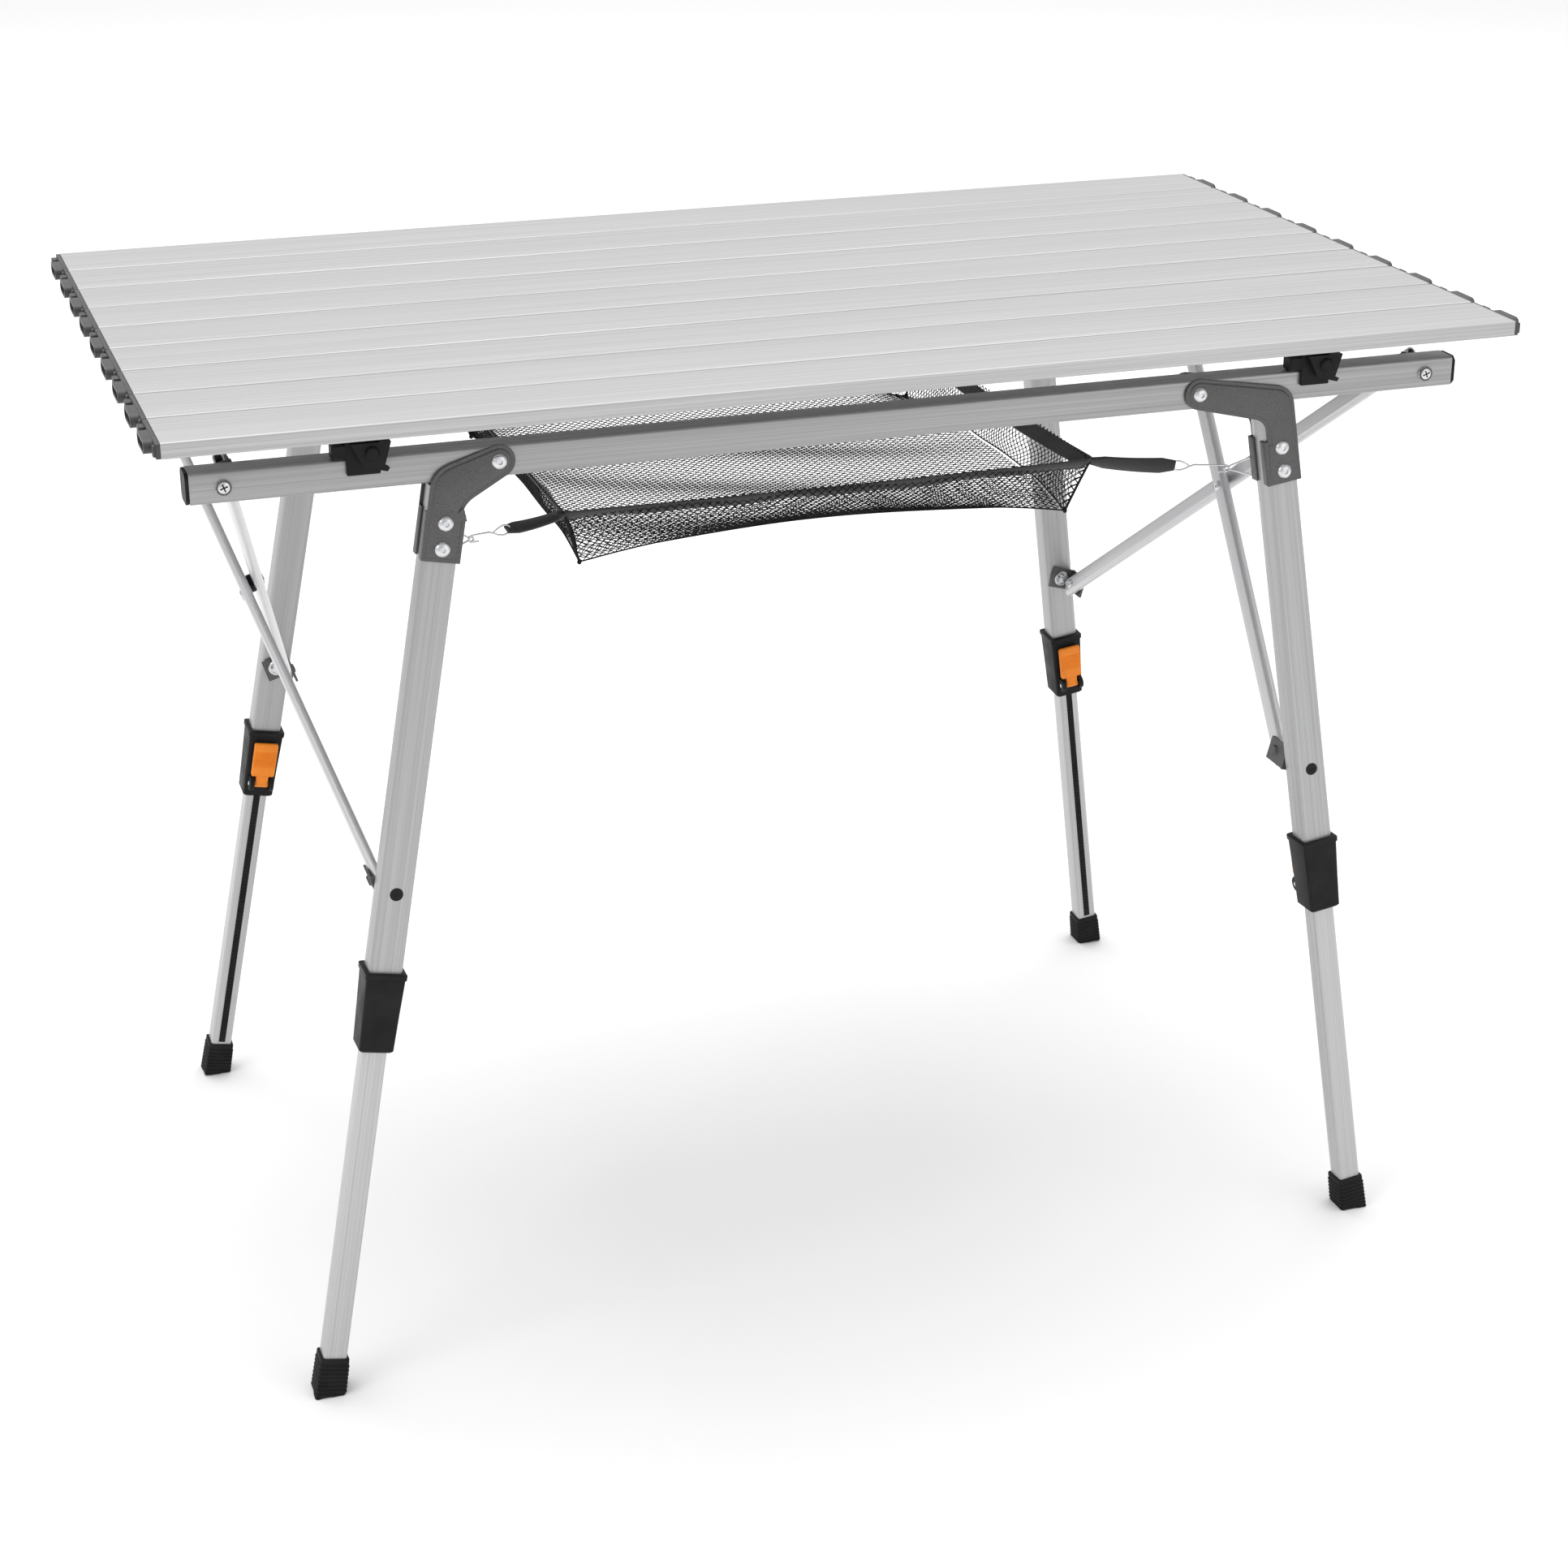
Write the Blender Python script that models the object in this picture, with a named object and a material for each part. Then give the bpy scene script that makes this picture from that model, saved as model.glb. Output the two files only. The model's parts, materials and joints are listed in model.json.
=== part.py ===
"""Camp kitchen table: a roll-top aluminium camp table with four telescoping legs.

The top is nine channel slats with plastic end plugs. It lies on four clips on two long rails.
Each rail carries two bracketed legs, and each end has a pair of crossed struts that tie a rail
to the opposite leg. A net tray hangs between the rails.

Frame: +X along the table, -Y to the front, +Z up, origin on the floor under the centre. Metres.
"""
import math

import bmesh
import bpy
from mathutils import Matrix, Vector

# ---- driving dimensions -------------------------------------------------------------------
GAP = 0.0003                 # clearance between neighbouring pieces

TOP_LENGTH = 0.900           # aluminium length of a slat
TOP_HEIGHT = 0.6740          # top surface above the floor
SLAT_COUNT = 9
SLAT_PITCH = 0.0575          # centre to centre of two slats
SLAT_GAP = 0.0006            # slit between two slats
SLAT_THICK = 0.0100
SLAT_WALL = 0.0014
SLAT_LIP = 0.0050            # inward lip under each long edge
SLAT_ROUND = 0.0016          # rounding of the top edges
PLUG_DEPTH = 0.0140          # how far an end plug sits in its slat
PLUG_FLANGE = 0.0030         # plate that covers the slat's end
PLUG_KNUCKLE = 0.0060        # link block that stands out of the plate

RAIL_HALF = 0.4300           # half the aluminium length of a rail
RAIL_SIZE = 0.0200           # square section
RAIL_Y = 0.2060              # rail centre line, front and rear
RAIL_Z = 0.6310
RAIL_WALL = 0.0013
RAIL_BOLT_X = 0.4094         # bolt that carries the strut swivel
CAP_THICK = 0.0020           # cover of a rail end cap
CAP_PLUG = 0.0090            # plug of a rail end cap, from the cover's middle

PIVOT_X = 0.2393             # leg pivot on the rail
LEG_TILT_Y = math.radians(3.35)      # outward splay to the front and rear
LEG_LEAN = {"left": math.radians(10.65), "right": math.radians(8.20)}   # outward splay along X
LEG_OFFSET = {"left": 0.0285, "right": 0.0554}   # leg axis from the pivot
RIVET_DROP = {"left": (0.0422, 0.0587), "right": (0.0501, 0.0666)}
BRACKET_TAIL = 0.0085        # bracket below its lower rivet
BRACKET_PLATE = 0.0018
BRACKET_WIDTH = 0.0250
BRACKET_EYE = 0.0105         # radius of the round end at the pivot
BRACKET_WAIST = 0.0098       # inner edge of the plate above its flange, from the leg axis
KNEE_OUTER = (0.0105, 0.0115)       # outer knee: drop of its sharp corner, reach of its rounding
KNEE_INNER = (0.0295, 0.0080)       # the same for the inner knee
FLANGE_RISE = 0.0060         # flanges start this far above the upper leg rivet
RING_DROP = 0.0080           # wire ring below the middle of the two leg rivets
RING_HALF = 0.0075           # half the spread of its two wires on the plate
BRACKET_ROOM = 0.0009        # play between a plate and the rail, which lets the leg lean

UPPER_X, UPPER_Y = 0.0220, 0.0200
LOWER_X, LOWER_Y = 0.0160, 0.0160
LEG_WALL = 0.0012
RACK_HALF = 0.0026           # half width of the toothed strip on a lower leg
RACK_HIGH = 0.0005
UPPER_TOP = 0.0210           # distances along the leg, down from the pivot
COLLAR_TOP = 0.3426
COLLAR_BOTTOM = 0.3978
UPPER_BOTTOM = 0.3826
LOWER_TOP = 0.3180
FOOT_TOP = 0.6215
LEG_END = 0.6640
CLIP_DROP = 0.2880           # strut swivel bolt on the leg
COLLAR_WIDE, COLLAR_NARROW = 0.0278, 0.0236
LEVER_DROP = 0.3850          # pin of the cam lever

STRUT_THICK, STRUT_WIDE = 0.0070, 0.0150
STRUT_WALL = 0.0011
STRUT_SHIFT = 0.0052         # each strut of a crossed pair lies this far off the bolt line
SWIVEL_PLATE = 0.0018
SWIVEL_REACH = 0.0160        # strut rivet from the face that carries the swivel
SEAT_GAP = 0.0010            # play between a leg and the swivel plate on it
STRUT_END = 0.0080           # strut past its rivet

CLIP_X = 0.3240
NET_HALF_X, NET_HALF_Y = 0.1880, 0.1680
NET_TOP, NET_BOTTOM = 0.5800, 0.5380
NET_WALL = 0.0020

SIDES = {"left": -1, "right": 1}
FACES = {"front": -1, "rear": 1}

COLOURS = {
    "anodised": ((0.80, 0.80, 0.81), 0.34, 1.0),
    "frame_tube": ((0.66, 0.66, 0.67), 0.36, 1.0),
    "hammered": ((0.16, 0.16, 0.165), 0.45, 0.6),
    "steel": ((0.62, 0.63, 0.65), 0.25, 1.0),
    "black_plastic": ((0.030, 0.030, 0.032), 0.50, 0.0),
    "orange_plastic": ((0.90, 0.26, 0.02), 0.45, 0.0),
    "rubber": ((0.022, 0.022, 0.023), 0.70, 0.0),
    "net": ((0.015, 0.015, 0.016), 0.85, 0.0),
}


# ---- scene and material helpers -----------------------------------------------------------
def clear_scene():
    for obj in list(bpy.data.objects):
        bpy.data.objects.remove(obj, do_unlink=True)


def material_for(node, kind):
    colour, roughness, metallic = COLOURS[kind]
    material = bpy.data.materials.new(node + "_" + kind)
    material.use_nodes = True
    shader = material.node_tree.nodes["Principled BSDF"]
    shader.inputs["Base Color"].default_value = (*colour, 1.0)
    shader.inputs["Roughness"].default_value = roughness
    shader.inputs["Metallic"].default_value = metallic
    return material


def mesh_object(name, mesh):
    obj = bpy.data.objects.new(name, mesh)
    TOOLS.objects.link(obj)
    obj.hide_render = True
    obj.display_type = "WIRE"
    return obj


def evaluated_mesh(obj):
    """The object's mesh with its modifiers or curve settings applied, its doubles welded."""
    bpy.context.view_layer.update()
    graph = bpy.context.evaluated_depsgraph_get()
    mesh = bpy.data.meshes.new_from_object(obj.evaluated_get(graph))
    work = bmesh.new()
    work.from_mesh(mesh)
    bmesh.ops.remove_doubles(work, verts=work.verts, dist=0.000005)
    work.to_mesh(mesh)
    work.free()
    return mesh


def combine(obj, tools, operation="UNION"):
    """Join the tools to the object, or cut them from it, and leave one plain mesh object."""
    for tool in tools:
        step = obj.modifiers.new("step", "BOOLEAN")
        step.operation = operation
        step.solver = "EXACT"
        step.object = tool
        mesh = evaluated_mesh(obj)
        obj.modifiers.clear()
        obj.data = mesh
        bpy.data.objects.remove(tool, do_unlink=True)
    return obj


def finish_part(obj, kind, parent=None):
    """Move a finished piece to the table's collection with its material and its parent."""
    TOOLS.objects.unlink(obj)
    TABLE.objects.link(obj)
    obj.hide_render = False
    obj.display_type = "TEXTURED"
    obj.data.name = obj.name
    obj.data.materials.clear()
    obj.data.materials.append(material_for(obj.name, kind))
    obj.data.shade_smooth()
    obj.data.set_sharp_from_angle(angle=math.radians(30))
    if parent is not None:
        obj.parent = parent
    return obj


def frame_empty(name, matrix, parent=None):
    empty = bpy.data.objects.new(name, None)
    TABLE.objects.link(empty)
    empty.empty_display_size = 0.02
    if parent is not None:
        empty.parent = parent
    empty.matrix_local = matrix
    return empty


# ---- shape helpers ------------------------------------------------------------------------
def box(name, low, high, bevel=0.0, taper=None):
    """A box between two corners. taper scales the section at its lowest Z about its centre."""
    low, high = Vector(low), Vector(high)
    work = bmesh.new()
    bmesh.ops.create_cube(work, size=1.0)
    centre = (low + high) / 2
    for vert in work.verts:
        reach = Vector(vert.co[i] * (high - low)[i] for i in range(3))
        if taper and vert.co.z < 0:
            reach.x *= taper[0]
            reach.y *= taper[1]
        vert.co = centre + reach
    if bevel:
        bmesh.ops.bevel(work, geom=work.edges[:], offset=bevel, segments=1, affect="EDGES")
    mesh = bpy.data.meshes.new(name)
    work.to_mesh(mesh)
    work.free()
    return mesh_object(name, mesh)


def pin(name, centre, radius, length, axis="Y", tip=1.0, sides=8):
    """A cylinder about an axis through its centre. tip scales the radius at the axis' +end."""
    turn = {"X": Matrix.Rotation(math.pi / 2, 4, "Y"),
            "Y": Matrix.Rotation(-math.pi / 2, 4, "X"),
            "Z": Matrix.Identity(4)}[axis]
    work = bmesh.new()
    bmesh.ops.create_cone(work, cap_ends=True, segments=sides, radius1=radius,
                          radius2=radius * tip, depth=length,
                          matrix=Matrix.Translation(centre) @ turn)
    mesh = bpy.data.meshes.new(name)
    work.to_mesh(mesh)
    work.free()
    return mesh_object(name, mesh)


def extrusion(name, loops, length, axis="Y"):
    """Closed 2D loops, later ones holes, extruded by length along an axis about its middle.

    The loops are (x, z) points for axis Y, (x, y) for axis Z and (y, z) for axis X.
    """
    curve = bpy.data.curves.new(name, "CURVE")
    curve.dimensions = "2D"
    curve.fill_mode = "BOTH"
    curve.extrude = length / 2
    for loop in loops:
        spline = curve.splines.new("POLY")
        spline.points.add(len(loop) - 1)
        for point, (u, v) in zip(spline.points, loop):
            point.co = (u, v, 0.0, 1.0)
        spline.use_cyclic_u = True
    source = bpy.data.objects.new(name + "_outline", curve)
    TOOLS.objects.link(source)
    mesh = evaluated_mesh(source)
    bpy.data.objects.remove(source, do_unlink=True)
    turn = {"Z": Matrix.Identity(4),
            "Y": Matrix.Rotation(math.pi / 2, 4, "X"),
            "X": Matrix.Rotation(math.pi / 2, 4, "Z") @ Matrix.Rotation(math.pi / 2, 4, "X")}
    mesh.transform(turn[axis])
    return mesh_object(name, mesh)


def rounded_rectangle(half_u, half_v, radius, steps=1):
    points = []
    for corner in range(4):
        sign_u = 1 if corner in (0, 3) else -1
        sign_v = 1 if corner in (0, 1) else -1
        for step in range(steps + 1):
            angle = math.radians(90) * (corner + step / steps)
            points.append((sign_u * (half_u - radius) + radius * math.cos(angle),
                           sign_v * (half_v - radius) + radius * math.sin(angle)))
    return points


def rectangle(half_u, half_v):
    return [(half_u, half_v), (-half_u, half_v), (-half_u, -half_v), (half_u, -half_v)]


def moved(obj, offset):
    obj.data.transform(Matrix.Translation(offset))
    return obj


def wire(name, points, radius):
    """A round wire through the points, as a closed mesh."""
    curve = bpy.data.curves.new(name, "CURVE")
    curve.dimensions = "3D"
    curve.bevel_depth = radius
    curve.bevel_resolution = 0
    curve.use_fill_caps = True
    spline = curve.splines.new("POLY")
    spline.points.add(len(points) - 1)
    for point, co in zip(spline.points, points):
        point.co = (*co, 1.0)
    source = bpy.data.objects.new(name + "_path", curve)
    TOOLS.objects.link(source)
    mesh = evaluated_mesh(source)
    bpy.data.objects.remove(source, do_unlink=True)
    return mesh_object(name, mesh)


# ---- the top ------------------------------------------------------------------------------
def slat_profile():
    half = (SLAT_PITCH - SLAT_GAP) / 2
    inner = half - SLAT_WALL
    right = [(half - SLAT_ROUND, 0.0), (half, -SLAT_ROUND), (half, -SLAT_THICK),
             (half - SLAT_LIP, -SLAT_THICK), (half - SLAT_LIP, SLAT_WALL - SLAT_THICK),
             (inner, SLAT_WALL - SLAT_THICK), (inner, -SLAT_WALL)]
    left = [(-y, z) for y, z in reversed(right)]
    return right + left


def make_slat(index):
    """One aluminium channel with the plastic plug and link block of each end, origin on its hinge."""
    name = "slat_{}".format(index + 1)
    centre_y = (index - (SLAT_COUNT - 1) / 2) * SLAT_PITCH
    slat = extrusion(name, [slat_profile()], TOP_LENGTH, axis="X")
    half = (SLAT_PITCH - SLAT_GAP) / 2
    tools = []
    for side in (-1, 1):
        end = side * TOP_LENGTH / 2
        plug = box("plug", (min(end - side * PLUG_DEPTH, end + side * 0.001), -half + 0.0010,
                            -SLAT_THICK + 0.0010),
                   (max(end - side * PLUG_DEPTH, end + side * 0.001), half - 0.0010, -0.0010))
        inset = end - side * 0.0004
        flange = box("flange", (min(inset, end + side * PLUG_FLANGE), -half + 0.0002,
                                -SLAT_THICK + 0.0002),
                     (max(inset, end + side * PLUG_FLANGE), half - 0.0002, -0.0005))
        start = end + side * (PLUG_FLANGE - 0.0005)
        stop = end + side * (PLUG_FLANGE + PLUG_KNUCKLE)
        knuckle = extrusion("knuckle", [rounded_rectangle(0.0150, 0.0043, 0.0030)],
                            abs(stop - start), axis="X")
        moved(knuckle, ((start + stop) / 2, -0.004, -SLAT_THICK / 2))
        tools += [plug, flange, knuckle]
    combine(slat, tools)
    hinge_y = centre_y
    if index < SLAT_COUNT // 2:
        hinge_y = centre_y + SLAT_PITCH / 2
    elif index > SLAT_COUNT // 2:
        hinge_y = centre_y - SLAT_PITCH / 2
    moved(slat, (0.0, centre_y - hinge_y, SLAT_THICK))
    slat.location = (0.0, hinge_y, TOP_HEIGHT - SLAT_THICK)
    return finish_part(slat, "anodised")


# ---- the rails ----------------------------------------------------------------------------
def square_tube(name, size_x, size_y, wall, length, axis, radius=0.0018):
    outer = rounded_rectangle(size_x / 2, size_y / 2, radius)
    inner = rectangle(size_x / 2 - wall, size_y / 2 - wall)
    return extrusion(name, [outer, inner], length, axis)


def make_rail(face):
    sign = FACES[face]
    rail = square_tube("rail_" + face, RAIL_SIZE, RAIL_SIZE, RAIL_WALL, 2 * RAIL_HALF, "X")
    holes = []
    for x in (-PIVOT_X, PIVOT_X):
        hole = pin("hole", (0, 0, 0), 0.0025 + GAP, 2 * RAIL_SIZE)
        hole.data.transform(Matrix.Rotation(sign * LEG_TILT_Y, 4, "X"))
        holes.append(moved(hole, (x, 0, 0)))
    for x in (-RAIL_BOLT_X, RAIL_BOLT_X):
        holes.append(pin("hole", (x, 0, 0), 0.0022 + GAP, 2 * RAIL_SIZE))
    combine(rail, holes, "DIFFERENCE")
    rail.location = (0.0, sign * RAIL_Y, RAIL_Z)
    return finish_part(rail, "frame_tube")


def make_rail_cap(face, side):
    """End cap: a rounded cover and a plug that stops short of the swivel bolt."""
    sign = SIDES[side]
    half = RAIL_SIZE / 2
    cap = extrusion("rail_cap_{}_{}".format(face, side),
                    [rounded_rectangle(half, half, 0.0030)], CAP_THICK, "X")
    plug_half = half - RAIL_WALL - GAP
    plug = box("plug", (-CAP_PLUG, -plug_half, -plug_half), (CAP_THICK / 4, plug_half, plug_half), 0.0006)
    if sign < 0:
        plug.data.transform(Matrix.Scale(-1, 4, (1, 0, 0)))
        plug.data.flip_normals()
    combine(cap, [plug])
    cap.location = (sign * (RAIL_HALF + GAP + CAP_THICK / 2), FACES[face] * RAIL_Y, RAIL_Z)
    return finish_part(cap, "black_plastic")


def make_top_clip(face, side):
    """The clip on a rail that the top lies on, and the swinging latch on its outer face."""
    out = FACES[face]
    name = "{}_{}".format(face, side)
    rail_half = RAIL_SIZE / 2
    low = rail_half + GAP
    high = TOP_HEIGHT - SLAT_THICK - RAIL_Z - GAP
    face_y = rail_half + GAP
    base = box("clip_base_" + name, (-0.0105, -0.0060, low), (0.0105, face_y + 0.0028, high),
               0.0008)
    tab = box("tab", (-0.0105, face_y, 0.0002), (0.0105, face_y + 0.0028, low + 0.004), 0.0006)
    lug = box("lug", (-0.0190, 0.0010, low), (-0.0080, face_y + 0.0020, low + 0.0100), 0.0012)
    combine(base, [tab, lug])
    pivot = Vector((0.0046, face_y + 0.0028, 0.0150))
    stud = pin("stud", (pivot.x, pivot.y + 0.0030, pivot.z), 0.0020, 0.0064)
    head = pin("head", (pivot.x, pivot.y + 0.0068, pivot.z), 0.0047, 0.0014, tip=0.8, sides=10)
    combine(base, [stud, head])
    outline = [(-0.0130, 0.0066), (0.0120, 0.0066), (0.0075, -0.0085), (0.0105, -0.0100),
               (0.0090, -0.0122), (-0.0010, -0.0095), (-0.0060, -0.0075)]
    latch = extrusion("clip_latch_" + name, [outline], 0.0052, "Y")
    combine(latch, [pin("hole", (0, 0, 0), 0.0020 + GAP, 0.02)], "DIFFERENCE")
    latch_y = pivot.y + GAP + 0.0026
    for obj in (base, latch):
        if out < 0:
            obj.data.transform(Matrix.Scale(-1, 4, (0, 1, 0)))
            obj.data.flip_normals()
    origin = Vector((SIDES[side] * CLIP_X, out * RAIL_Y, RAIL_Z))
    base.location = origin
    latch.location = origin + Vector((pivot.x, out * latch_y, pivot.z))
    finish_part(base, "black_plastic")
    finish_part(latch, "black_plastic")


# ---- legs ---------------------------------------------------------------------------------
def leg_matrix(face, side):
    """Leg frame: origin on the pivot, Y along its axis, -Z down the leg."""
    place = Matrix.Translation((SIDES[side] * PIVOT_X, FACES[face] * RAIL_Y, RAIL_Z))
    tilt = Matrix.Rotation(FACES[face] * LEG_TILT_Y, 4, "X")
    lean = Matrix.Rotation(-SIDES[side] * LEG_LEAN[side], 4, "Y")
    return place @ tilt @ lean


def round_corner(before, corner, after, reach, steps=4):
    """Points of the curve that rounds a corner, starting and ending a reach away from it."""
    start = corner + (before - corner).normalized() * reach
    stop = corner + (after - corner).normalized() * reach
    shares = [step / steps for step in range(steps + 1)]
    return [(1 - t) ** 2 * start + 2 * t * (1 - t) * corner + t * t * stop for t in shares]


def bracket_outline(side):
    """Round eye on the pivot, straight arm, bent knee and square end, as (x, z) points."""
    axis_x = LEG_OFFSET[side]
    bottom = RIVET_DROP[side][1] + BRACKET_TAIL
    flange_top = RIVET_DROP[side][0] - FLANGE_RISE
    half = BRACKET_WIDTH / 2
    outer = Vector((axis_x + half, -KNEE_OUTER[0]))
    inner = Vector((axis_x - BRACKET_WAIST, -KNEE_INNER[0]))
    # A line from a knee's corner touches the eye at these angles.
    top = math.atan2(outer.y, outer.x) + math.acos(BRACKET_EYE / outer.length)
    low = math.atan2(inner.y, inner.x) - math.acos(BRACKET_EYE / inner.length)
    sweep = 2 * math.pi - (top - low)
    angles = [low - sweep * step / 6 for step in range(7)]
    loop = [Vector((math.cos(a), math.sin(a))) * BRACKET_EYE for a in angles]
    end = [Vector((axis_x + half, -bottom)), Vector((axis_x - half, -bottom)),
           Vector((axis_x - half, -flange_top)), Vector((axis_x - BRACKET_WAIST, -flange_top))]
    loop += round_corner(loop[-1], outer, end[0], KNEE_OUTER[1]) + end
    loop += round_corner(end[-1], inner, loop[0], KNEE_INNER[1])
    return [(SIDES[side] * p.x, p.y) for p in loop]


def make_bracket(face, side, leg):
    """Outer and inner steel plates, their rivets, the pivot rivet and the wire ring for the net."""
    out = SIDES[side]
    inward = -FACES[face]
    axis_x = out * LEG_OFFSET[side]
    gap_half = RAIL_SIZE / 2 + BRACKET_ROOM
    name = "leg_bracket_{}_{}".format(face, side)
    bottom = RIVET_DROP[side][1] + BRACKET_TAIL
    loop = bracket_outline(side)
    plates = []
    for sign in (-1, 1):
        plate = extrusion("plate", [loop], BRACKET_PLATE, "Y")
        moved(plate, (0.0, sign * (gap_half + BRACKET_PLATE / 2), 0.0))
        for edge in (-1, 1):
            x_in = axis_x + edge * (UPPER_X / 2 + 0.0004)
            x_out = axis_x + edge * (BRACKET_WIDTH / 2)
            y_in = sign * (gap_half - 0.0060)
            y_out = sign * (gap_half + BRACKET_PLATE / 2)
            flange = box("flange", (min(x_in, x_out), min(y_in, y_out), -bottom),
                         (max(x_in, x_out), max(y_in, y_out), -RIVET_DROP[side][0] + FLANGE_RISE))
            combine(plate, [flange])
        plates.append(plate)
    bracket = plates[0]
    bracket.name = name
    tools = [plates[1]]
    reach = gap_half + BRACKET_PLATE
    tools.append(pin("pivot_rivet", (0, 0, 0), 0.0025, 2 * reach + 0.0004))
    for drop in RIVET_DROP[side]:
        tools.append(pin("rivet", (axis_x, 0, -drop), 0.0025, 2 * reach + 0.0004))
    for x, z in [(0.0, 0.0)] + [(axis_x, -drop) for drop in RIVET_DROP[side]]:
        for sign in (-1, 1):
            head = pin("head", (0, 0, 0), 0.0050, 0.0020, tip=0.62, sides=10)
            if sign < 0:
                head.data.transform(Matrix.Rotation(math.pi, 4, "X"))
            moved(head, (x, sign * (reach + 0.0008), z))
            tools.append(head)
    ring_y = inward * (gap_half + BRACKET_PLATE * 0.5)
    edge_x = axis_x - out * (BRACKET_WIDTH / 2 - 0.003)
    middle = -sum(RIVET_DROP[side]) / 2 - RING_DROP
    apex = (axis_x - out * 0.0265, ring_y + inward * 0.010, middle)
    for end in (-RING_HALF, RING_HALF):
        tools.append(wire("ring", [(edge_x, ring_y, middle + end), apex], 0.0008))
    tools.append(pin("loop", apex, 0.0017, 0.0016, sides=8))
    combine(bracket, tools)
    return finish_part(bracket, "hammered", leg)


def make_upper_leg(face, side, leg):
    inward = -FACES[face]
    axis_x = SIDES[side] * LEG_OFFSET[side]
    tube = square_tube("upper_leg_{}_{}".format(face, side), UPPER_X, UPPER_Y, LEG_WALL,
                       UPPER_BOTTOM - UPPER_TOP, "Z")
    moved(tube, (axis_x, 0.0, -(UPPER_BOTTOM + UPPER_TOP) / 2))
    holes = [pin("hole", (axis_x, 0, -drop), 0.0025 + GAP, 0.05) for drop in RIVET_DROP[side]]
    combine(tube, holes, "DIFFERENCE")
    button = pin("button", (axis_x, -inward * (UPPER_Y / 2 + 0.0002), -CLIP_DROP), 0.0044, 0.0016,
                 sides=10)
    combine(tube, [button])
    return finish_part(tube, "frame_tube", leg)


def make_collar(face, side, leg):
    """Plastic collar on the upper tube's end, with the two ears and the pin of the cam lever."""
    inward = -FACES[face]
    axis_x = SIDES[side] * LEG_OFFSET[side]
    half = COLLAR_WIDE / 2
    ratio = COLLAR_NARROW / COLLAR_WIDE
    collar = box("collar_{}_{}".format(face, side), (-half, -half, -COLLAR_BOTTOM),
                 (half, half, -COLLAR_TOP), 0.0012, (ratio, ratio))
    ears = []
    ear_y = half * ratio + 0.0036
    for sign in (-1, 1):
        ear = pin("ear", (sign * 0.0076, inward * ear_y, -LEVER_DROP), 0.0056, 0.0034, "X")
        web = box("web", (sign * 0.0076 - 0.0017, min(inward * 0.0090, inward * ear_y),
                          -LEVER_DROP - 0.0056),
                  (sign * 0.0076 + 0.0017, max(inward * 0.0090, inward * ear_y),
                   -LEVER_DROP + 0.0056))
        ears += [ear, web]
    ears.append(pin("hinge_pin", (0, inward * ear_y, -LEVER_DROP), 0.0014, 0.0190, "X", sides=10))
    combine(collar, ears)
    wide = box("socket", (-UPPER_X / 2 - GAP, -UPPER_Y / 2 - GAP, -UPPER_BOTTOM - GAP),
               (UPPER_X / 2 + GAP, UPPER_Y / 2 + GAP, -COLLAR_TOP + 0.01))
    slim = box("guide", (-LOWER_X / 2 - GAP, -LOWER_Y / 2 - GAP, -COLLAR_BOTTOM - 0.01),
               (LOWER_X / 2 + GAP, LOWER_Y / 2 + GAP, -UPPER_BOTTOM + 0.001))
    rack_y = inward * (LOWER_Y / 2 + RACK_HIGH + GAP)
    rack = box("rack_slot", (-RACK_HALF - GAP, min(0.0, rack_y), -COLLAR_BOTTOM - 0.01),
               (RACK_HALF + GAP, max(0.0, rack_y), -UPPER_BOTTOM + 0.001))
    combine(collar, [wide, slim, rack], "DIFFERENCE")
    moved(collar, (axis_x, 0.0, 0.0))
    return finish_part(collar, "black_plastic", leg)


def make_lever(face, side, leg):
    """Cam lever, origin on its pin: a broad thumb pad above a narrow neck."""
    inward = -FACES[face]
    axis_x = SIDES[side] * LEG_OFFSET[side]
    half = COLLAR_WIDE / 2
    ear_y = half * COLLAR_NARROW / COLLAR_WIDE + 0.0036
    lever = pin("cam_lever_{}_{}".format(face, side), (0, 0, 0), 0.0028, 0.0104, "X", sides=10)
    neck = box("neck", (-0.0048, -0.0008, 0.0004), (0.0048, 0.0026, 0.0100), 0.0004)
    pad = box("pad", (-0.0092, -0.0012, 0.0070), (0.0092, 0.0030, 0.0345), 0.0010)
    combine(lever, [neck, pad])
    combine(lever, [pin("hole", (0, 0, 0), 0.0014 + GAP, 0.03, "X", sides=10)], "DIFFERENCE")
    if inward < 0:
        lever.data.transform(Matrix.Scale(-1, 4, (0, 1, 0)))
        lever.data.flip_normals()
    lever.location = (axis_x, inward * ear_y, -LEVER_DROP)
    return finish_part(lever, "orange_plastic", leg)


def make_lower_leg(face, side, leg):
    """Inner tube with the strip that the cam lever locks on."""
    inward = -FACES[face]
    axis_x = SIDES[side] * LEG_OFFSET[side]
    bottom = FOOT_TOP + 0.0180
    tube = square_tube("lower_leg_{}_{}".format(face, side), LOWER_X, LOWER_Y, LEG_WALL,
                       bottom - LOWER_TOP, "Z", 0.0014)
    moved(tube, (0.0, 0.0, -(bottom + LOWER_TOP) / 2))
    low = min(inward * (LOWER_Y / 2 - 0.0006), inward * (LOWER_Y / 2 + RACK_HIGH))
    high = max(inward * (LOWER_Y / 2 - 0.0006), inward * (LOWER_Y / 2 + RACK_HIGH))
    rack = box("rack", (-RACK_HALF, low, 0.0040 - FOOT_TOP), (RACK_HALF, high, -LOWER_TOP - 0.0040))
    combine(tube, [rack])
    moved(tube, (axis_x, 0.0, 0.0))
    return finish_part(tube, "frame_tube", leg)


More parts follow.
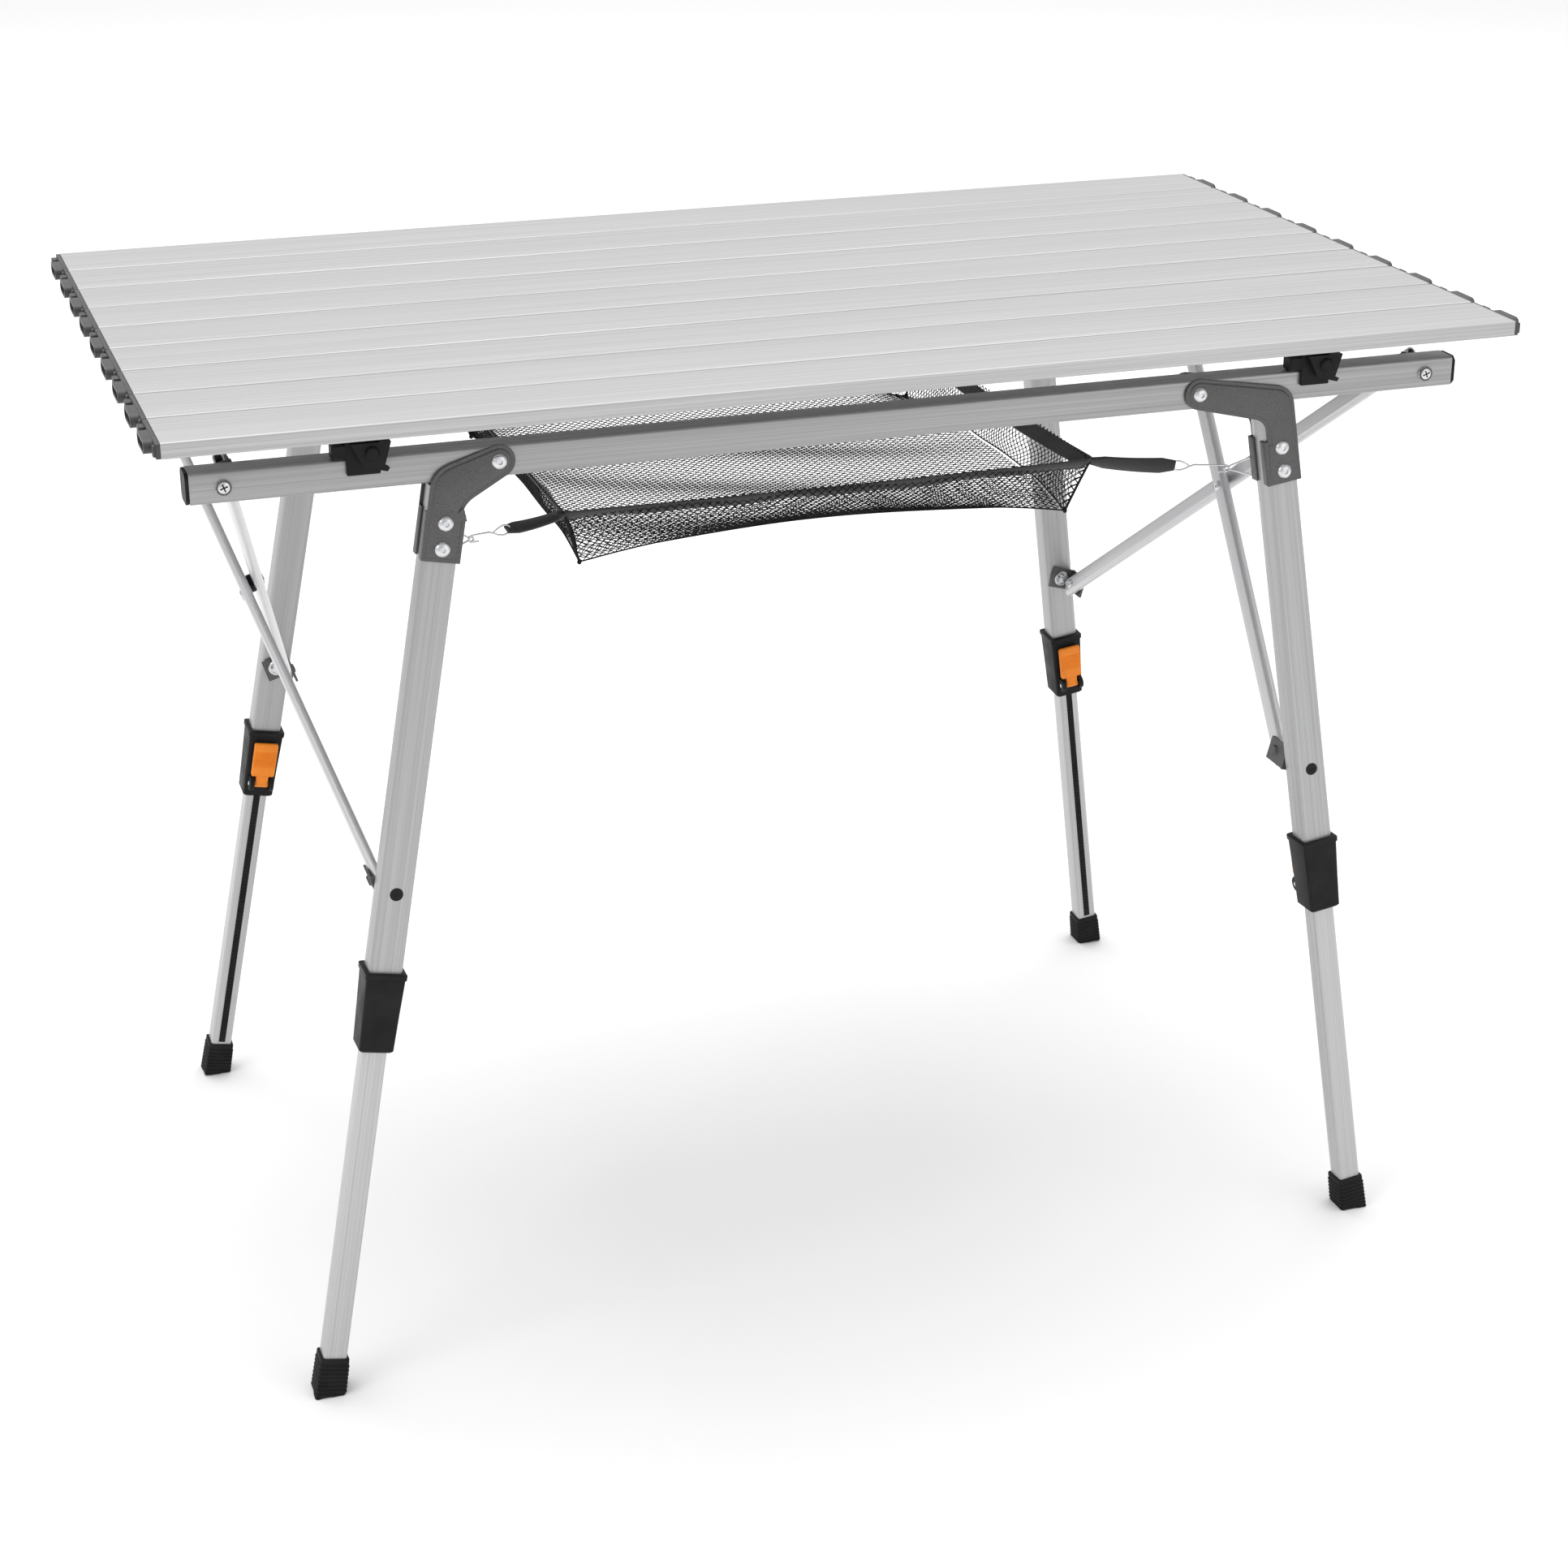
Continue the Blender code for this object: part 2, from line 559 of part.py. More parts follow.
def make_foot(face, side, leg):
    """Rubber foot, trimmed level with the floor."""
    axis_x = SIDES[side] * LEG_OFFSET[side]
    half_x, half_y = LOWER_X / 2 + 0.0018, LOWER_Y / 2 + 0.0018
    foot = box("foot_{}_{}".format(face, side), (-half_x, -half_y, -LEG_END),
               (half_x, half_y, -FOOT_TOP), 0.0014)
    flare = box("flare", (-half_x - 0.0010, -half_y - 0.0010, -LEG_END - 0.004),
                (half_x + 0.0010, half_y + 0.0010, -FOOT_TOP - 0.012), 0.0012)
    combine(foot, [flare])
    socket = box("socket", (-LOWER_X / 2 - GAP, -LOWER_Y / 2 - GAP, -FOOT_TOP - 0.0180 - GAP),
                 (LOWER_X / 2 + GAP, LOWER_Y / 2 + GAP, -FOOT_TOP + 0.01))
    combine(foot, [socket], "DIFFERENCE")
    moved(foot, (axis_x, 0.0, 0.0))
    floor = box("floor", (-0.2, -0.2, -0.2), (0.2, 0.2, 0.0))
    matrix = leg_matrix(face, side)
    centre = matrix @ Vector((axis_x, 0.0, -LEG_END))
    floor.data.transform(matrix.inverted() @ Matrix.Translation((centre.x, centre.y, 0.0)))
    combine(foot, [floor], "DIFFERENCE")
    return finish_part(foot, "rubber", leg)


# ---- struts -------------------------------------------------------------------------------
def bolt_point(face, side):
    """Rail bolt on the inner face of a rail."""
    y = FACES[face] * (RAIL_Y - RAIL_SIZE / 2 - GAP)
    return Vector((SIDES[side] * RAIL_BOLT_X, y, RAIL_Z))


def clip_point(face, side):
    """Swivel bolt on the inner face of a leg."""
    inner = -FACES[face] * (UPPER_Y / 2 + SEAT_GAP)
    return leg_matrix(face, side) @ Vector((SIDES[side] * LEG_OFFSET[side], inner, -CLIP_DROP))


def strut_plan(face, side):
    """Heading, tilt and length of the strut that starts on this rail and ends on the other leg."""
    other = "rear" if face == "front" else "front"
    start, stop = bolt_point(face, side), clip_point(other, side)
    heading = math.atan2(start.x - stop.x, start.z - stop.z)
    across = math.hypot(stop.x - start.x, stop.z - start.z)
    span = abs(stop.y - start.y) - 2 * SWIVEL_REACH
    return heading, math.atan2(span, across), math.hypot(span, across), other


def make_swivel(name, reach_sign, shift_sign, on_leg):
    """L bracket on a bolt. Its plate lies on the carrier, its ear stands beside the strut."""
    ear_x = STRUT_SHIFT + STRUT_THICK / 2 + GAP
    ear_top = ear_x + SWIVEL_PLATE
    plate = box(name, (-0.0090, 0.0, -0.0085), (ear_top, SWIVEL_PLATE, 0.0085))
    ear = box("ear", (ear_x, 0.0008, -0.0082), (ear_top - 0.0001, SWIVEL_REACH + 0.0080, 0.0082))
    rivet = pin("rivet", (ear_top + 0.0006, SWIVEL_REACH, 0), 0.0042, 0.0016, "X", 0.75)
    if on_leg:
        nut = pin("nut", (0, SWIVEL_PLATE + 0.0011, 0), 0.0042, 0.0030, sides=6)
        washer = pin("washer", (0, SWIVEL_PLATE + 0.0001, 0), 0.0060, 0.0010, sides=10)
        tools = [washer, nut]
    else:
        shank = pin("shank", (0, -RAIL_SIZE / 2, 0), 0.0022, RAIL_SIZE + 0.0034)
        head = pin("head", (0, -RAIL_SIZE - 0.0014, 0), 0.0049, 0.0016, sides=10)
        nut = pin("nut", (0, SWIVEL_PLATE + 0.0011, 0), 0.0040, 0.0030, sides=6)
        tools = [shank, head, nut]
    flips = Matrix.Diagonal((shift_sign, reach_sign, 1.0, 1.0))
    for obj in [plate, ear, rivet] + tools:
        obj.data.transform(flips)
        if shift_sign * reach_sign < 0:
            obj.data.flip_normals()
    return plate, [ear, rivet], tools


def oval_tube(name, length):
    outer = rounded_rectangle(STRUT_THICK / 2, STRUT_WIDE / 2, STRUT_THICK / 2 - 0.0001, 2)
    inner = rounded_rectangle(STRUT_THICK / 2 - STRUT_WALL, STRUT_WIDE / 2 - STRUT_WALL,
                              STRUT_THICK / 2 - STRUT_WALL - 0.0001)
    return extrusion(name, [outer, inner], length, "Z")


def make_strut(face, side):
    """The strut from this rail's end to the opposite leg, with the swivel bracket at each end."""
    heading, tilt, length, other = strut_plan(face, side)
    inward = -FACES[face]
    shift = 1 if face == "front" else -1
    turn = Matrix.Rotation(heading, 4, "Y")
    start = frame_empty("strut_bolt_{}_{}".format(face, side),
                        Matrix.Translation(bolt_point(face, side)) @ turn)
    top, ear, fixings = make_swivel("rail_swivel_{}_{}".format(face, side), inward, shift, False)
    combine(top, ear + fixings)
    finish_part(top, "steel", start)
    hinge = frame_empty("strut_rivet_{}_{}".format(face, side),
                        Matrix.Translation((shift * STRUT_SHIFT, inward * SWIVEL_REACH, 0))
                        @ Matrix.Rotation(inward * tilt, 4, "X"), start)
    strut = oval_tube("strut_{}_{}".format(face, side), length + 2 * STRUT_END)
    moved(strut, (0, 0, -length / 2))
    tools = []
    outer_x = STRUT_THICK / 2 + 0.0003
    for along in (0.0, length):
        tools.append(pin("rivet", (-shift * outer_x, 0, -along), 0.0040, 0.0014, "X"))
    tools.append(pin("rivet", (shift * outer_x, 0, -length / 2), 0.0042, 0.0014, "X"))
    if face == "front":
        reach = 2 * STRUT_SHIFT - STRUT_THICK - GAP
        tools.append(pin("spacer", (-STRUT_THICK / 2 + 0.0008 - (reach + 0.0008) / 2, 0,
                                    -length / 2), 0.0060, reach + 0.0008, "X"))
    combine(strut, tools)
    finish_part(strut, "frame_tube", hinge)
    # The plate follows the leg's outward splay while its ear stays square to the strut.
    seat = clip_point(other, side)
    lay = turn.inverted() @ Matrix.Rotation(FACES[other] * LEG_TILT_Y, 4, "X") @ turn
    bottom, ear, fixings = make_swivel("leg_swivel_{}_{}".format(other, side), -inward, shift,
                                       True)
    for obj in [bottom] + fixings:
        obj.data.transform(lay)
    combine(bottom, ear + fixings)
    moved(bottom, (-shift * STRUT_SHIFT, inward * SWIVEL_REACH, 0))
    rivet = turn @ Vector((shift * STRUT_SHIFT, -inward * SWIVEL_REACH, 0))
    end = frame_empty("strut_end_{}_{}".format(other, side),
                      Matrix.Translation(seat + rivet) @ turn)
    finish_part(bottom, "steel", end)


# ---- net tray -----------------------------------------------------------------------------
def make_net():
    """The storage net as a plain tapered tray, open at the top."""
    low = Vector((-NET_HALF_X, -NET_HALF_Y, NET_BOTTOM))
    high = Vector((NET_HALF_X, NET_HALF_Y, NET_TOP))
    taper = (0.97, 0.96)
    net = box("storage_net", low, high, 0.0, taper)
    inset = Vector((NET_WALL, NET_WALL, 0.0))
    room = box("room", low + inset + Vector((0, 0, NET_WALL)),
               high - inset + Vector((0, 0, 0.0001)), 0.0, taper)
    combine(net, [room], "DIFFERENCE")
    return finish_part(net, "net")


# ---- assembly -----------------------------------------------------------------------------
clear_scene()
TABLE = bpy.data.collections.new("camp_kitchen_table")
TOOLS = bpy.data.collections.new("cutters")
bpy.context.scene.collection.children.link(TABLE)
bpy.context.scene.collection.children.link(TOOLS)

for slat_index in range(SLAT_COUNT):
    make_slat(slat_index)
for face_name in FACES:
    make_rail(face_name)
    for side_name in SIDES:
        make_rail_cap(face_name, side_name)
        make_top_clip(face_name, side_name)
        leg_frame = frame_empty("leg_pivot_{}_{}".format(face_name, side_name),
                                leg_matrix(face_name, side_name))
        make_bracket(face_name, side_name, leg_frame)
        make_upper_leg(face_name, side_name, leg_frame)
        make_collar(face_name, side_name, leg_frame)
        make_lever(face_name, side_name, leg_frame)
        make_lower_leg(face_name, side_name, leg_frame)
        make_foot(face_name, side_name, leg_frame)
        make_strut(face_name, side_name)
make_net()
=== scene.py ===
"""Looks of the roll-top camp kitchen table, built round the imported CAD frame."""
import json
import math

import bmesh
import bpy
from mathutils import Matrix, Vector


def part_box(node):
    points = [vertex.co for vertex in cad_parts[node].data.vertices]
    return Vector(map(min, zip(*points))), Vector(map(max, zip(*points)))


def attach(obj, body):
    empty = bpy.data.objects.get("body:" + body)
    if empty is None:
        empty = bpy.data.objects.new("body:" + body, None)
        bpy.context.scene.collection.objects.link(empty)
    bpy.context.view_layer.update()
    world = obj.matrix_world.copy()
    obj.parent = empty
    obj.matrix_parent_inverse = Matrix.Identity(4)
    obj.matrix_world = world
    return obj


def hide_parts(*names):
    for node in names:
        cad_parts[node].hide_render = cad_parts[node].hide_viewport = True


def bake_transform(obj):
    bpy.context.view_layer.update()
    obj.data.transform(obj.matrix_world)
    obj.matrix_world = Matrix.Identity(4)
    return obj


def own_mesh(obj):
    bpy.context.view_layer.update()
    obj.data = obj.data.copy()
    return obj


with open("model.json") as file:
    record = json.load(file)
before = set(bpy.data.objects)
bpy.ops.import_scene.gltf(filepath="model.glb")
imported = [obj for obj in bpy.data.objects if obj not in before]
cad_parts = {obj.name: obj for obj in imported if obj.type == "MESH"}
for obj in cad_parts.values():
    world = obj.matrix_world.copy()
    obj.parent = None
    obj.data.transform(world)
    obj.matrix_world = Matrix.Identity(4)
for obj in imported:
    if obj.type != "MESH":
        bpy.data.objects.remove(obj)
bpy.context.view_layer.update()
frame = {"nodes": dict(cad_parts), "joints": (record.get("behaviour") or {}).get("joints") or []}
JOINTS = {j["name"]: j for j in frame["joints"]}
NODES = frame["nodes"]

# ---- sizes that the looks share with the CAD, in metres -----------------------------------
SLATS = 9
SLAT_Y = [sum(c.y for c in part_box("slat_{}".format(i + 1))) / 2 for i in range(SLATS)]
TOP_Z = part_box("slat_5")[1].z
TOP_HALF = 0.4500  # half the slats' aluminium, without the plugs
SLAT_HALF = (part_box("slat_5")[1].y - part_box("slat_5")[0].y) / 2
SLAT_THICK = 0.0100
SLAT_JOINT = 0.0014  # how far a slat's rear edge stops short
LEG_OFFSET = {"left": 0.0285, "right": 0.0554}  # from the hinge out to the leg's middle line
RIVET_DROP = {"left": (0.0422, 0.0587), "right": (0.0501, 0.0666)}  # rivets below the hinge
BRACKET_TAIL = 0.0085  # plate below the last rivet
BRACKET_EYE = 0.0105  # radius of the plate round the hinge
BRACKET_WIDTH = 0.0250
BRACKET_WAIST = 0.0098  # from the middle line to the inner edge at the bend
KNEE_OUTER = (0.0105, 0.0115)  # drop of the bend's corner, reach of its curve
KNEE_INNER = (0.0295, 0.0080)
FLANGE_RISE = 0.0060  # flange above the upper of the two rivets
RING_DROP = 0.0080  # net ring below the middle of the two rivets
RING_HALF = 0.0075  # half the height where the ring leaves the plate
PLATE_Y = 0.0109  # inner face of a plate from the leg's middle
PLATE_THICK = 0.0018
UPPER_X, UPPER_Y = 0.0220, 0.0200  # section of the upper leg tube
LOWER = 0.0160  # side of the lower leg tube
UPPER_TOP, UPPER_BOTTOM = 0.0210, 0.3826  # below the hinge, as are the next five lines
COLLAR_TOP, COLLAR_BOTTOM = 0.3426, 0.3978
HOLE_DROP = 0.2880
LEVER_DROP = 0.3850
LOWER_TOP, FOOT_TOP = 0.3180, 0.6215
LOWER_BOTTOM = FOOT_TOP + 0.017
COLLAR_WIDE, COLLAR_NARROW = 0.0278, 0.0236  # side of the collar at its top and bottom
LEG_SPLAY = math.radians(3.35)  # lean of the legs to the front and the rear
STRUT_SHIFT, STRUT_THICK, STRUT_WIDE, STRUT_END = 0.0052, 0.0070, 0.0150, 0.0080
RAIL_HALF, RAIL_SIZE, RAIL_Y, RAIL_Z = 0.4300, 0.0200, 0.2060, 0.6310
RACK_HALF = 0.0026  # half the width of the lock strip
SIGN = {"left": -1, "right": 1, "front": -1, "rear": 1}
FACES = ("front", "rear")
SIDES = ("left", "right")
Z_TO_X = Matrix(((0, 0, 1, 0), (1, 0, 0, 0), (0, 1, 0, 0), (0, 0, 0, 1)))


# ---- camera, light and floor --------------------------------------------------------------
CAMERA_PLACE = (-0.655, -2.000, 1.178)
CAMERA_DOWN, CAMERA_TURN = 0.3968, -0.3258  # radians below level, and round from +Y
CAMERA_LENS = 70.1
FLOOR_REACH, FLOOR_DROP, FLOOR_GREY = 40.0, 0.0006, 0.93
WORLD_STRENGTH = 0.74
LAMP_AIM = Vector((0, 0, 0.45))
LAMPS = (("overhead", (0.2, 1.2, 6.0), 7.0, 330),
         ("key", (-2.6, -1.4, 2.2), 1.6, 16),
         ("fill", (1.6, -3.0, 1.2), 2.0, 10))    # name, place, size, power


def make_stage():
    """The camera at the photo's angle, a pale floor, a white world and three soft lamps."""
    data = bpy.data.cameras.new("camera")
    camera = bpy.data.objects.new("camera", data)
    bpy.context.scene.collection.objects.link(camera)
    camera.location = CAMERA_PLACE
    camera.rotation_euler = (math.pi / 2 - CAMERA_DOWN, 0.0, CAMERA_TURN)
    data.sensor_width = 36.0
    data.lens = CAMERA_LENS
    bpy.context.scene.camera = camera

    floor_mesh = bpy.data.meshes.new("floor")
    work = bmesh.new()
    bmesh.ops.create_grid(work, x_segments=1, y_segments=1, size=FLOOR_REACH)
    work.to_mesh(floor_mesh)
    work.free()
    floor = bpy.data.objects.new("floor", floor_mesh)
    floor.location.z = -FLOOR_DROP
    bpy.context.scene.collection.objects.link(floor)
    material = bpy.data.materials.new("studio_floor")
    material.use_nodes = True
    shader = material.node_tree.nodes["Principled BSDF"]
    shader.inputs["Base Color"].default_value = (FLOOR_GREY, FLOOR_GREY, FLOOR_GREY, 1)
    shader.inputs["Roughness"].default_value = 0.85
    floor_mesh.materials.append(material)

    world = bpy.data.worlds.new("studio")
    world.use_nodes = True
    world.node_tree.nodes["Background"].inputs["Color"].default_value = (1, 1, 1, 1)
    world.node_tree.nodes["Background"].inputs["Strength"].default_value = WORLD_STRENGTH
    bpy.context.scene.world = world
    for name, place, size, power in LAMPS:
        lamp = bpy.data.lights.new(name, "AREA")
        lamp.energy = power
        lamp.size = size
        holder = bpy.data.objects.new(name, lamp)
        holder.location = place
        aim = LAMP_AIM - Vector(place)
        holder.rotation_euler = aim.to_track_quat("-Z", "Y").to_euler()
        bpy.context.scene.collection.objects.link(holder)
    bpy.context.scene.view_settings.view_transform = "Standard"


# ---- materials ----------------------------------------------------------------------------
NOISE_LOW, NOISE_HIGH = 0.3, 0.7  # the part of a noise's range that is used


def new_material(name, metallic, roughness):
    """A material, its node tree, its shader and its object coordinates."""
    material = bpy.data.materials.new(name)
    material.use_nodes = True
    tree = material.node_tree
    shader = tree.nodes["Principled BSDF"]
    shader.inputs["Metallic"].default_value = metallic
    shader.inputs["Roughness"].default_value = roughness
    place = tree.nodes.new("ShaderNodeTexCoord")
    return material, tree, shader, place.outputs["Object"]


def stretched(tree, source, direction, along, across):
    """Object coordinates turned so that X runs along a direction, then scaled."""
    turn = tree.nodes.new("ShaderNodeMapping")
    quat = Vector(direction).to_track_quat("X", "Z").inverted()
    turn.inputs["Rotation"].default_value = quat.to_euler()
    tree.links.new(source, turn.inputs["Vector"])
    scale = tree.nodes.new("ShaderNodeMapping")
    scale.inputs["Scale"].default_value = (along, across, across)
    tree.links.new(turn.outputs["Vector"], scale.inputs["Vector"])
    return scale.outputs["Vector"]


def noise(tree, source, scale, detail=3.0, rough=0.6):
    """A noise texture's factor."""
    node = tree.nodes.new("ShaderNodeTexNoise")
    node.inputs["Scale"].default_value = scale
    node.inputs["Detail"].default_value = detail
    node.inputs["Roughness"].default_value = rough
    tree.links.new(source, node.inputs["Vector"])
    return node.outputs["Fac"]


def spread(tree, factor, low, high):
    """A factor mapped to a range of numbers."""
    node = tree.nodes.new("ShaderNodeMapRange")
    node.inputs["From Min"].default_value = NOISE_LOW
    node.inputs["From Max"].default_value = NOISE_HIGH
    node.inputs["To Min"].default_value = low
    node.inputs["To Max"].default_value = high
    tree.links.new(factor, node.inputs["Value"])
    return node.outputs["Result"]


def tint(tree, factor, dark, light, start=NOISE_LOW, stop=NOISE_HIGH):
    """A factor mapped to a colour between two others."""
    ramp = tree.nodes.new("ShaderNodeValToRGB")
    ramp.color_ramp.elements[0].position = start
    ramp.color_ramp.elements[0].color = (*dark, 1)
    ramp.color_ramp.elements[1].position = stop
    ramp.color_ramp.elements[1].color = (*light, 1)
    tree.links.new(factor, ramp.inputs["Fac"])
    return ramp.outputs["Color"]


def bump(tree, shader, height, strength, distance):
    """Fine surface grain from a factor."""
    node = tree.nodes.new("ShaderNodeBump")
    node.inputs["Strength"].default_value = strength
    node.inputs["Distance"].default_value = distance
    tree.links.new(height, node.inputs["Height"])
    tree.links.new(node.outputs["Normal"], shader.inputs["Normal"])


def aluminium(name, direction, dark, light, rough=(0.30, 0.46), across=900.0, metallic=0.60):
    """Extruded aluminium: fine drawing lines along one direction."""
    material, tree, shader, coords = new_material(name, metallic, 0.38)
    lines = noise(tree, stretched(tree, coords, direction, 2.5, across), 1.0, 4.0, 0.65)
    tree.links.new(tint(tree, lines, dark, light), shader.inputs["Base Color"])
    tree.links.new(spread(tree, lines, rough[1], rough[0]), shader.inputs["Roughness"])
    bump(tree, shader, lines, 0.20, 0.00005)
    return material


def hammered():
    """Dark grey hammered paint: light flecks and a fine orange peel."""
    material, tree, shader, coords = new_material("hammered_paint", 0.45, 0.42)
    cells = tree.nodes.new("ShaderNodeTexVoronoi")
    cells.inputs["Scale"].default_value = 1500.0
    tree.links.new(coords, cells.inputs["Vector"])
    fleck = noise(tree, coords, 2600.0, 2.0, 0.7)
    tree.links.new(tint(tree, fleck, (0.060, 0.058, 0.058), (0.165, 0.162, 0.160), 0.38, 0.72),
                   shader.inputs["Base Color"])
    tree.links.new(spread(tree, fleck, 0.34, 0.55), shader.inputs["Roughness"])
    bump(tree, shader, cells.outputs["Distance"], 0.35, 0.0002)
    return material


def zinc():
    """Bright zinc plate with faint clouds."""
    material, tree, shader, coords = new_material("zinc_plate", 1.0, 0.26)
    cloud = noise(tree, coords, 260.0)
    tree.links.new(tint(tree, cloud, (0.55, 0.56, 0.58), (0.72, 0.72, 0.73)),
                   shader.inputs["Base Color"])
    tree.links.new(spread(tree, cloud, 0.20, 0.36), shader.inputs["Roughness"])
    return material


def moulded(name, dark, light, rough=(0.38, 0.58), grain=2200.0, strength=0.25, coat=0.0,
            shine=0.14):
    """Moulded plastic or rubber with a fine grain."""
    material, tree, shader, coords = new_material(name, 0.0, 0.5)
    texture = noise(tree, coords, grain, 2.0, 0.5)
    patch = noise(tree, coords, 55.0, 3.0, 0.6)
    tree.links.new(tint(tree, patch, dark, light), shader.inputs["Base Color"])
    tree.links.new(spread(tree, patch, rough[0], rough[1]), shader.inputs["Roughness"])
    bump(tree, shader, texture, strength, 0.00008)
    shader.inputs["Coat Weight"].default_value = coat
    shader.inputs["Specular IOR Level"].default_value = shine
    return material


def webbing():
    """Woven black webbing with faint light threads."""
    material, tree, shader, coords = new_material("black_webbing", 0.0, 0.85)
    threads = noise(tree, coords, 1700.0, 2.0, 0.6)
    tree.links.new(tint(tree, threads, (0.008, 0.008, 0.009), (0.030, 0.030, 0.032)),
                   shader.inputs["Base Color"])
    shader.inputs["Sheen Weight"].default_value = 0.25
    bump(tree, shader, threads, 0.6, 0.0003)
    return material


# ---- mesh helpers -------------------------------------------------------------------------
def add(name, work, material, matrix=None, smooth=35):
    """A mesh object in the row frame from a bmesh in a local frame."""
    mesh = bpy.data.meshes.new(name)
    bmesh.ops.recalc_face_normals(work, faces=work.faces)
    work.to_mesh(mesh)
    work.free()
    if matrix is not None:
        mesh.transform(matrix)
    mesh.materials.append(material)
    mesh.shade_smooth()
    mesh.set_sharp_from_angle(angle=math.radians(smooth))
    obj = bpy.data.objects.new(name, mesh)
    bpy.context.scene.collection.objects.link(obj)
    return obj


def join_box(work, low, high, bevel=0.0, segments=2, turn=None):
    """Adds a box between two corners, bevelled and turned where asked."""
    low, high = Vector(low), Vector(high)
    part = bmesh.new()
    bmesh.ops.create_cube(part, size=1.0)
    for vert in part.verts:
        reach = Vector(vert.co[i] * (high - low)[i] for i in range(3))
        vert.co = (low + high) / 2 + reach
    if bevel:
        bmesh.ops.bevel(part, geom=part.edges[:], offset=bevel, segments=segments,
                        affect="EDGES", profile=0.5)
    if turn is not None:
        part.transform(turn)
    merge(work, part)


def merge(work, part):
    """Moves one bmesh into another."""
    mesh = bpy.data.meshes.new("piece")
    part.to_mesh(mesh)
    part.free()
    work.from_mesh(mesh)
    bpy.data.meshes.remove(mesh)


def rounded(half_u, half_v, radius, steps=4):
    """A rectangle with round corners, as points round its middle."""
    points = []
    for corner in range(4):
        sign_u = 1 if corner in (0, 3) else -1
        sign_v = 1 if corner in (0, 1) else -1
        for step in range(steps + 1):
            angle = math.radians(90) * (corner + step / steps)
            points.append((sign_u * (half_u - radius) + radius * math.cos(angle),
                           sign_v * (half_v - radius) + radius * math.sin(angle)))
    return points


def join_rings(work, rings, caps=True):
    """Skins closed rings of points with the same count, one after another."""
    loops = [[work.verts.new(p) for p in ring] for ring in rings]
    count = len(loops[0])
    for lower, upper in zip(loops, loops[1:]):
        for i in range(count):
            work.faces.new((lower[i], lower[(i + 1) % count], upper[(i + 1) % count], upper[i]))
    if caps:
        work.faces.new(list(reversed(loops[0])))
        work.faces.new(loops[-1])
    return loops


def join_tube(work, outer, inner, start, stop, matrix=None):
    """A hollow extrusion along Z between two heights, with open ends."""
    part = bmesh.new()
    count = len(outer)
    rings = []
    for loop, z in ((outer, start), (outer, stop), (inner, stop), (inner, start)):
        rings.append([part.verts.new((u, v, z)) for u, v in loop])
    for a in range(4):
        first, second = rings[a], rings[(a + 1) % 4]
        for i in range(count):
            j = (i + 1) % count
            part.faces.new((first[i], first[j], second[j], second[i]))
    if matrix is not None:
        part.transform(matrix)
    merge(work, part)


def join_turned(work, profile, matrix, sides=24):
    """A turned shape about Z through (radius, z) points, closed on the axis at both ends."""
    part = bmesh.new()
    rings = []
    for radius, z in profile:
        if radius == 0:
            rings.append([part.verts.new((0, 0, z))])
        else:
            rings.append([part.verts.new((radius * math.cos(2 * math.pi * i / sides),
                                          radius * math.sin(2 * math.pi * i / sides), z))
                          for i in range(sides)])
    for first, second in zip(rings, rings[1:]):
        for i in range(sides):
            j = (i + 1) % sides
            if len(first) == 1:
                part.faces.new((first[0], second[i], second[j]))
            elif len(second) == 1:
                part.faces.new((first[i], second[0], first[j]))
            else:
                part.faces.new((first[i], second[i], second[j], first[j]))
    part.transform(matrix)
    merge(work, part)


def join_wire(work, points, radius, sides=8, closed=False):
    """A round wire through points, as rings carried along the path."""
    points = [Vector(p) for p in points]
    part = bmesh.new()
    loops = []
    side = None
    for i, point in enumerate(points):
        ahead = points[(i + 1) % len(points)] if closed or i + 1 < len(points) else point
        behind = points[i - 1] if closed or i > 0 else point
        heading = (ahead - behind).normalized()
        if side is None:
            side = heading.orthogonal().normalized()
        side = (side - heading * side.dot(heading)).normalized()
        other = heading.cross(side)
        loops.append([part.verts.new(point + radius * (
            math.cos(2 * math.pi * k / sides) * side + math.sin(2 * math.pi * k / sides) * other))
            for k in range(sides)])
    pairs = list(zip(loops, loops[1:])) + ([(loops[-1], loops[0])] if closed else [])
    for first, second in pairs:
        for k in range(sides):
            m = (k + 1) % sides
            part.faces.new((first[k], first[m], second[m], second[k]))
    if not closed:
        part.faces.new(list(reversed(loops[0])))
        part.faces.new(loops[-1])
    merge(work, part)


def aim_z(place, direction):
    """A matrix at a place whose +Z points in a direction."""
    quat = Vector(direction).to_track_quat("Z", "Y")
    return Matrix.Translation(place) @ quat.to_matrix().to_4x4()


def dress(obj, body, slot, *nodes):
    """Puts a piece on its body, in place of the CAD nodes that it replaces. The slot is not used."""
    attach(obj, body)
    if nodes:
        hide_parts(*nodes)
    return obj


# turned profiles, as (radius, height) from the seat
RIVET = ((0, -0.0002), (0.0050, -0.0002), (0.0051, 0.0003), (0.0046, 0.0012), (0.0034, 0.0020),
         (0.0021, 0.0023), (0.0018, 0.0023), (0.0016, 0.0012), (0, 0.0011))
SCREW = ((0, -0.0002), (0.0050, -0.0002), (0.0051, 0.0004), (0.0045, 0.0014), (0.0030, 0.0021),
         (0.0, 0.0024))


def join_cross_shade_bars(work, matrix):
    """Painted shade of the cross recess on a screw head: two thin dark bars just above it."""
    reach, width, start = 0.0026, 0.0009, 0.35
    for angle in (start, start + math.pi / 2):
        turn = matrix @ Matrix.Rotation(angle, 4, "Z")
        join_box(work, (-reach, -width / 2, 0.0016), (reach, width / 2, 0.00245), 0.0001, 1,
                 turn=turn)


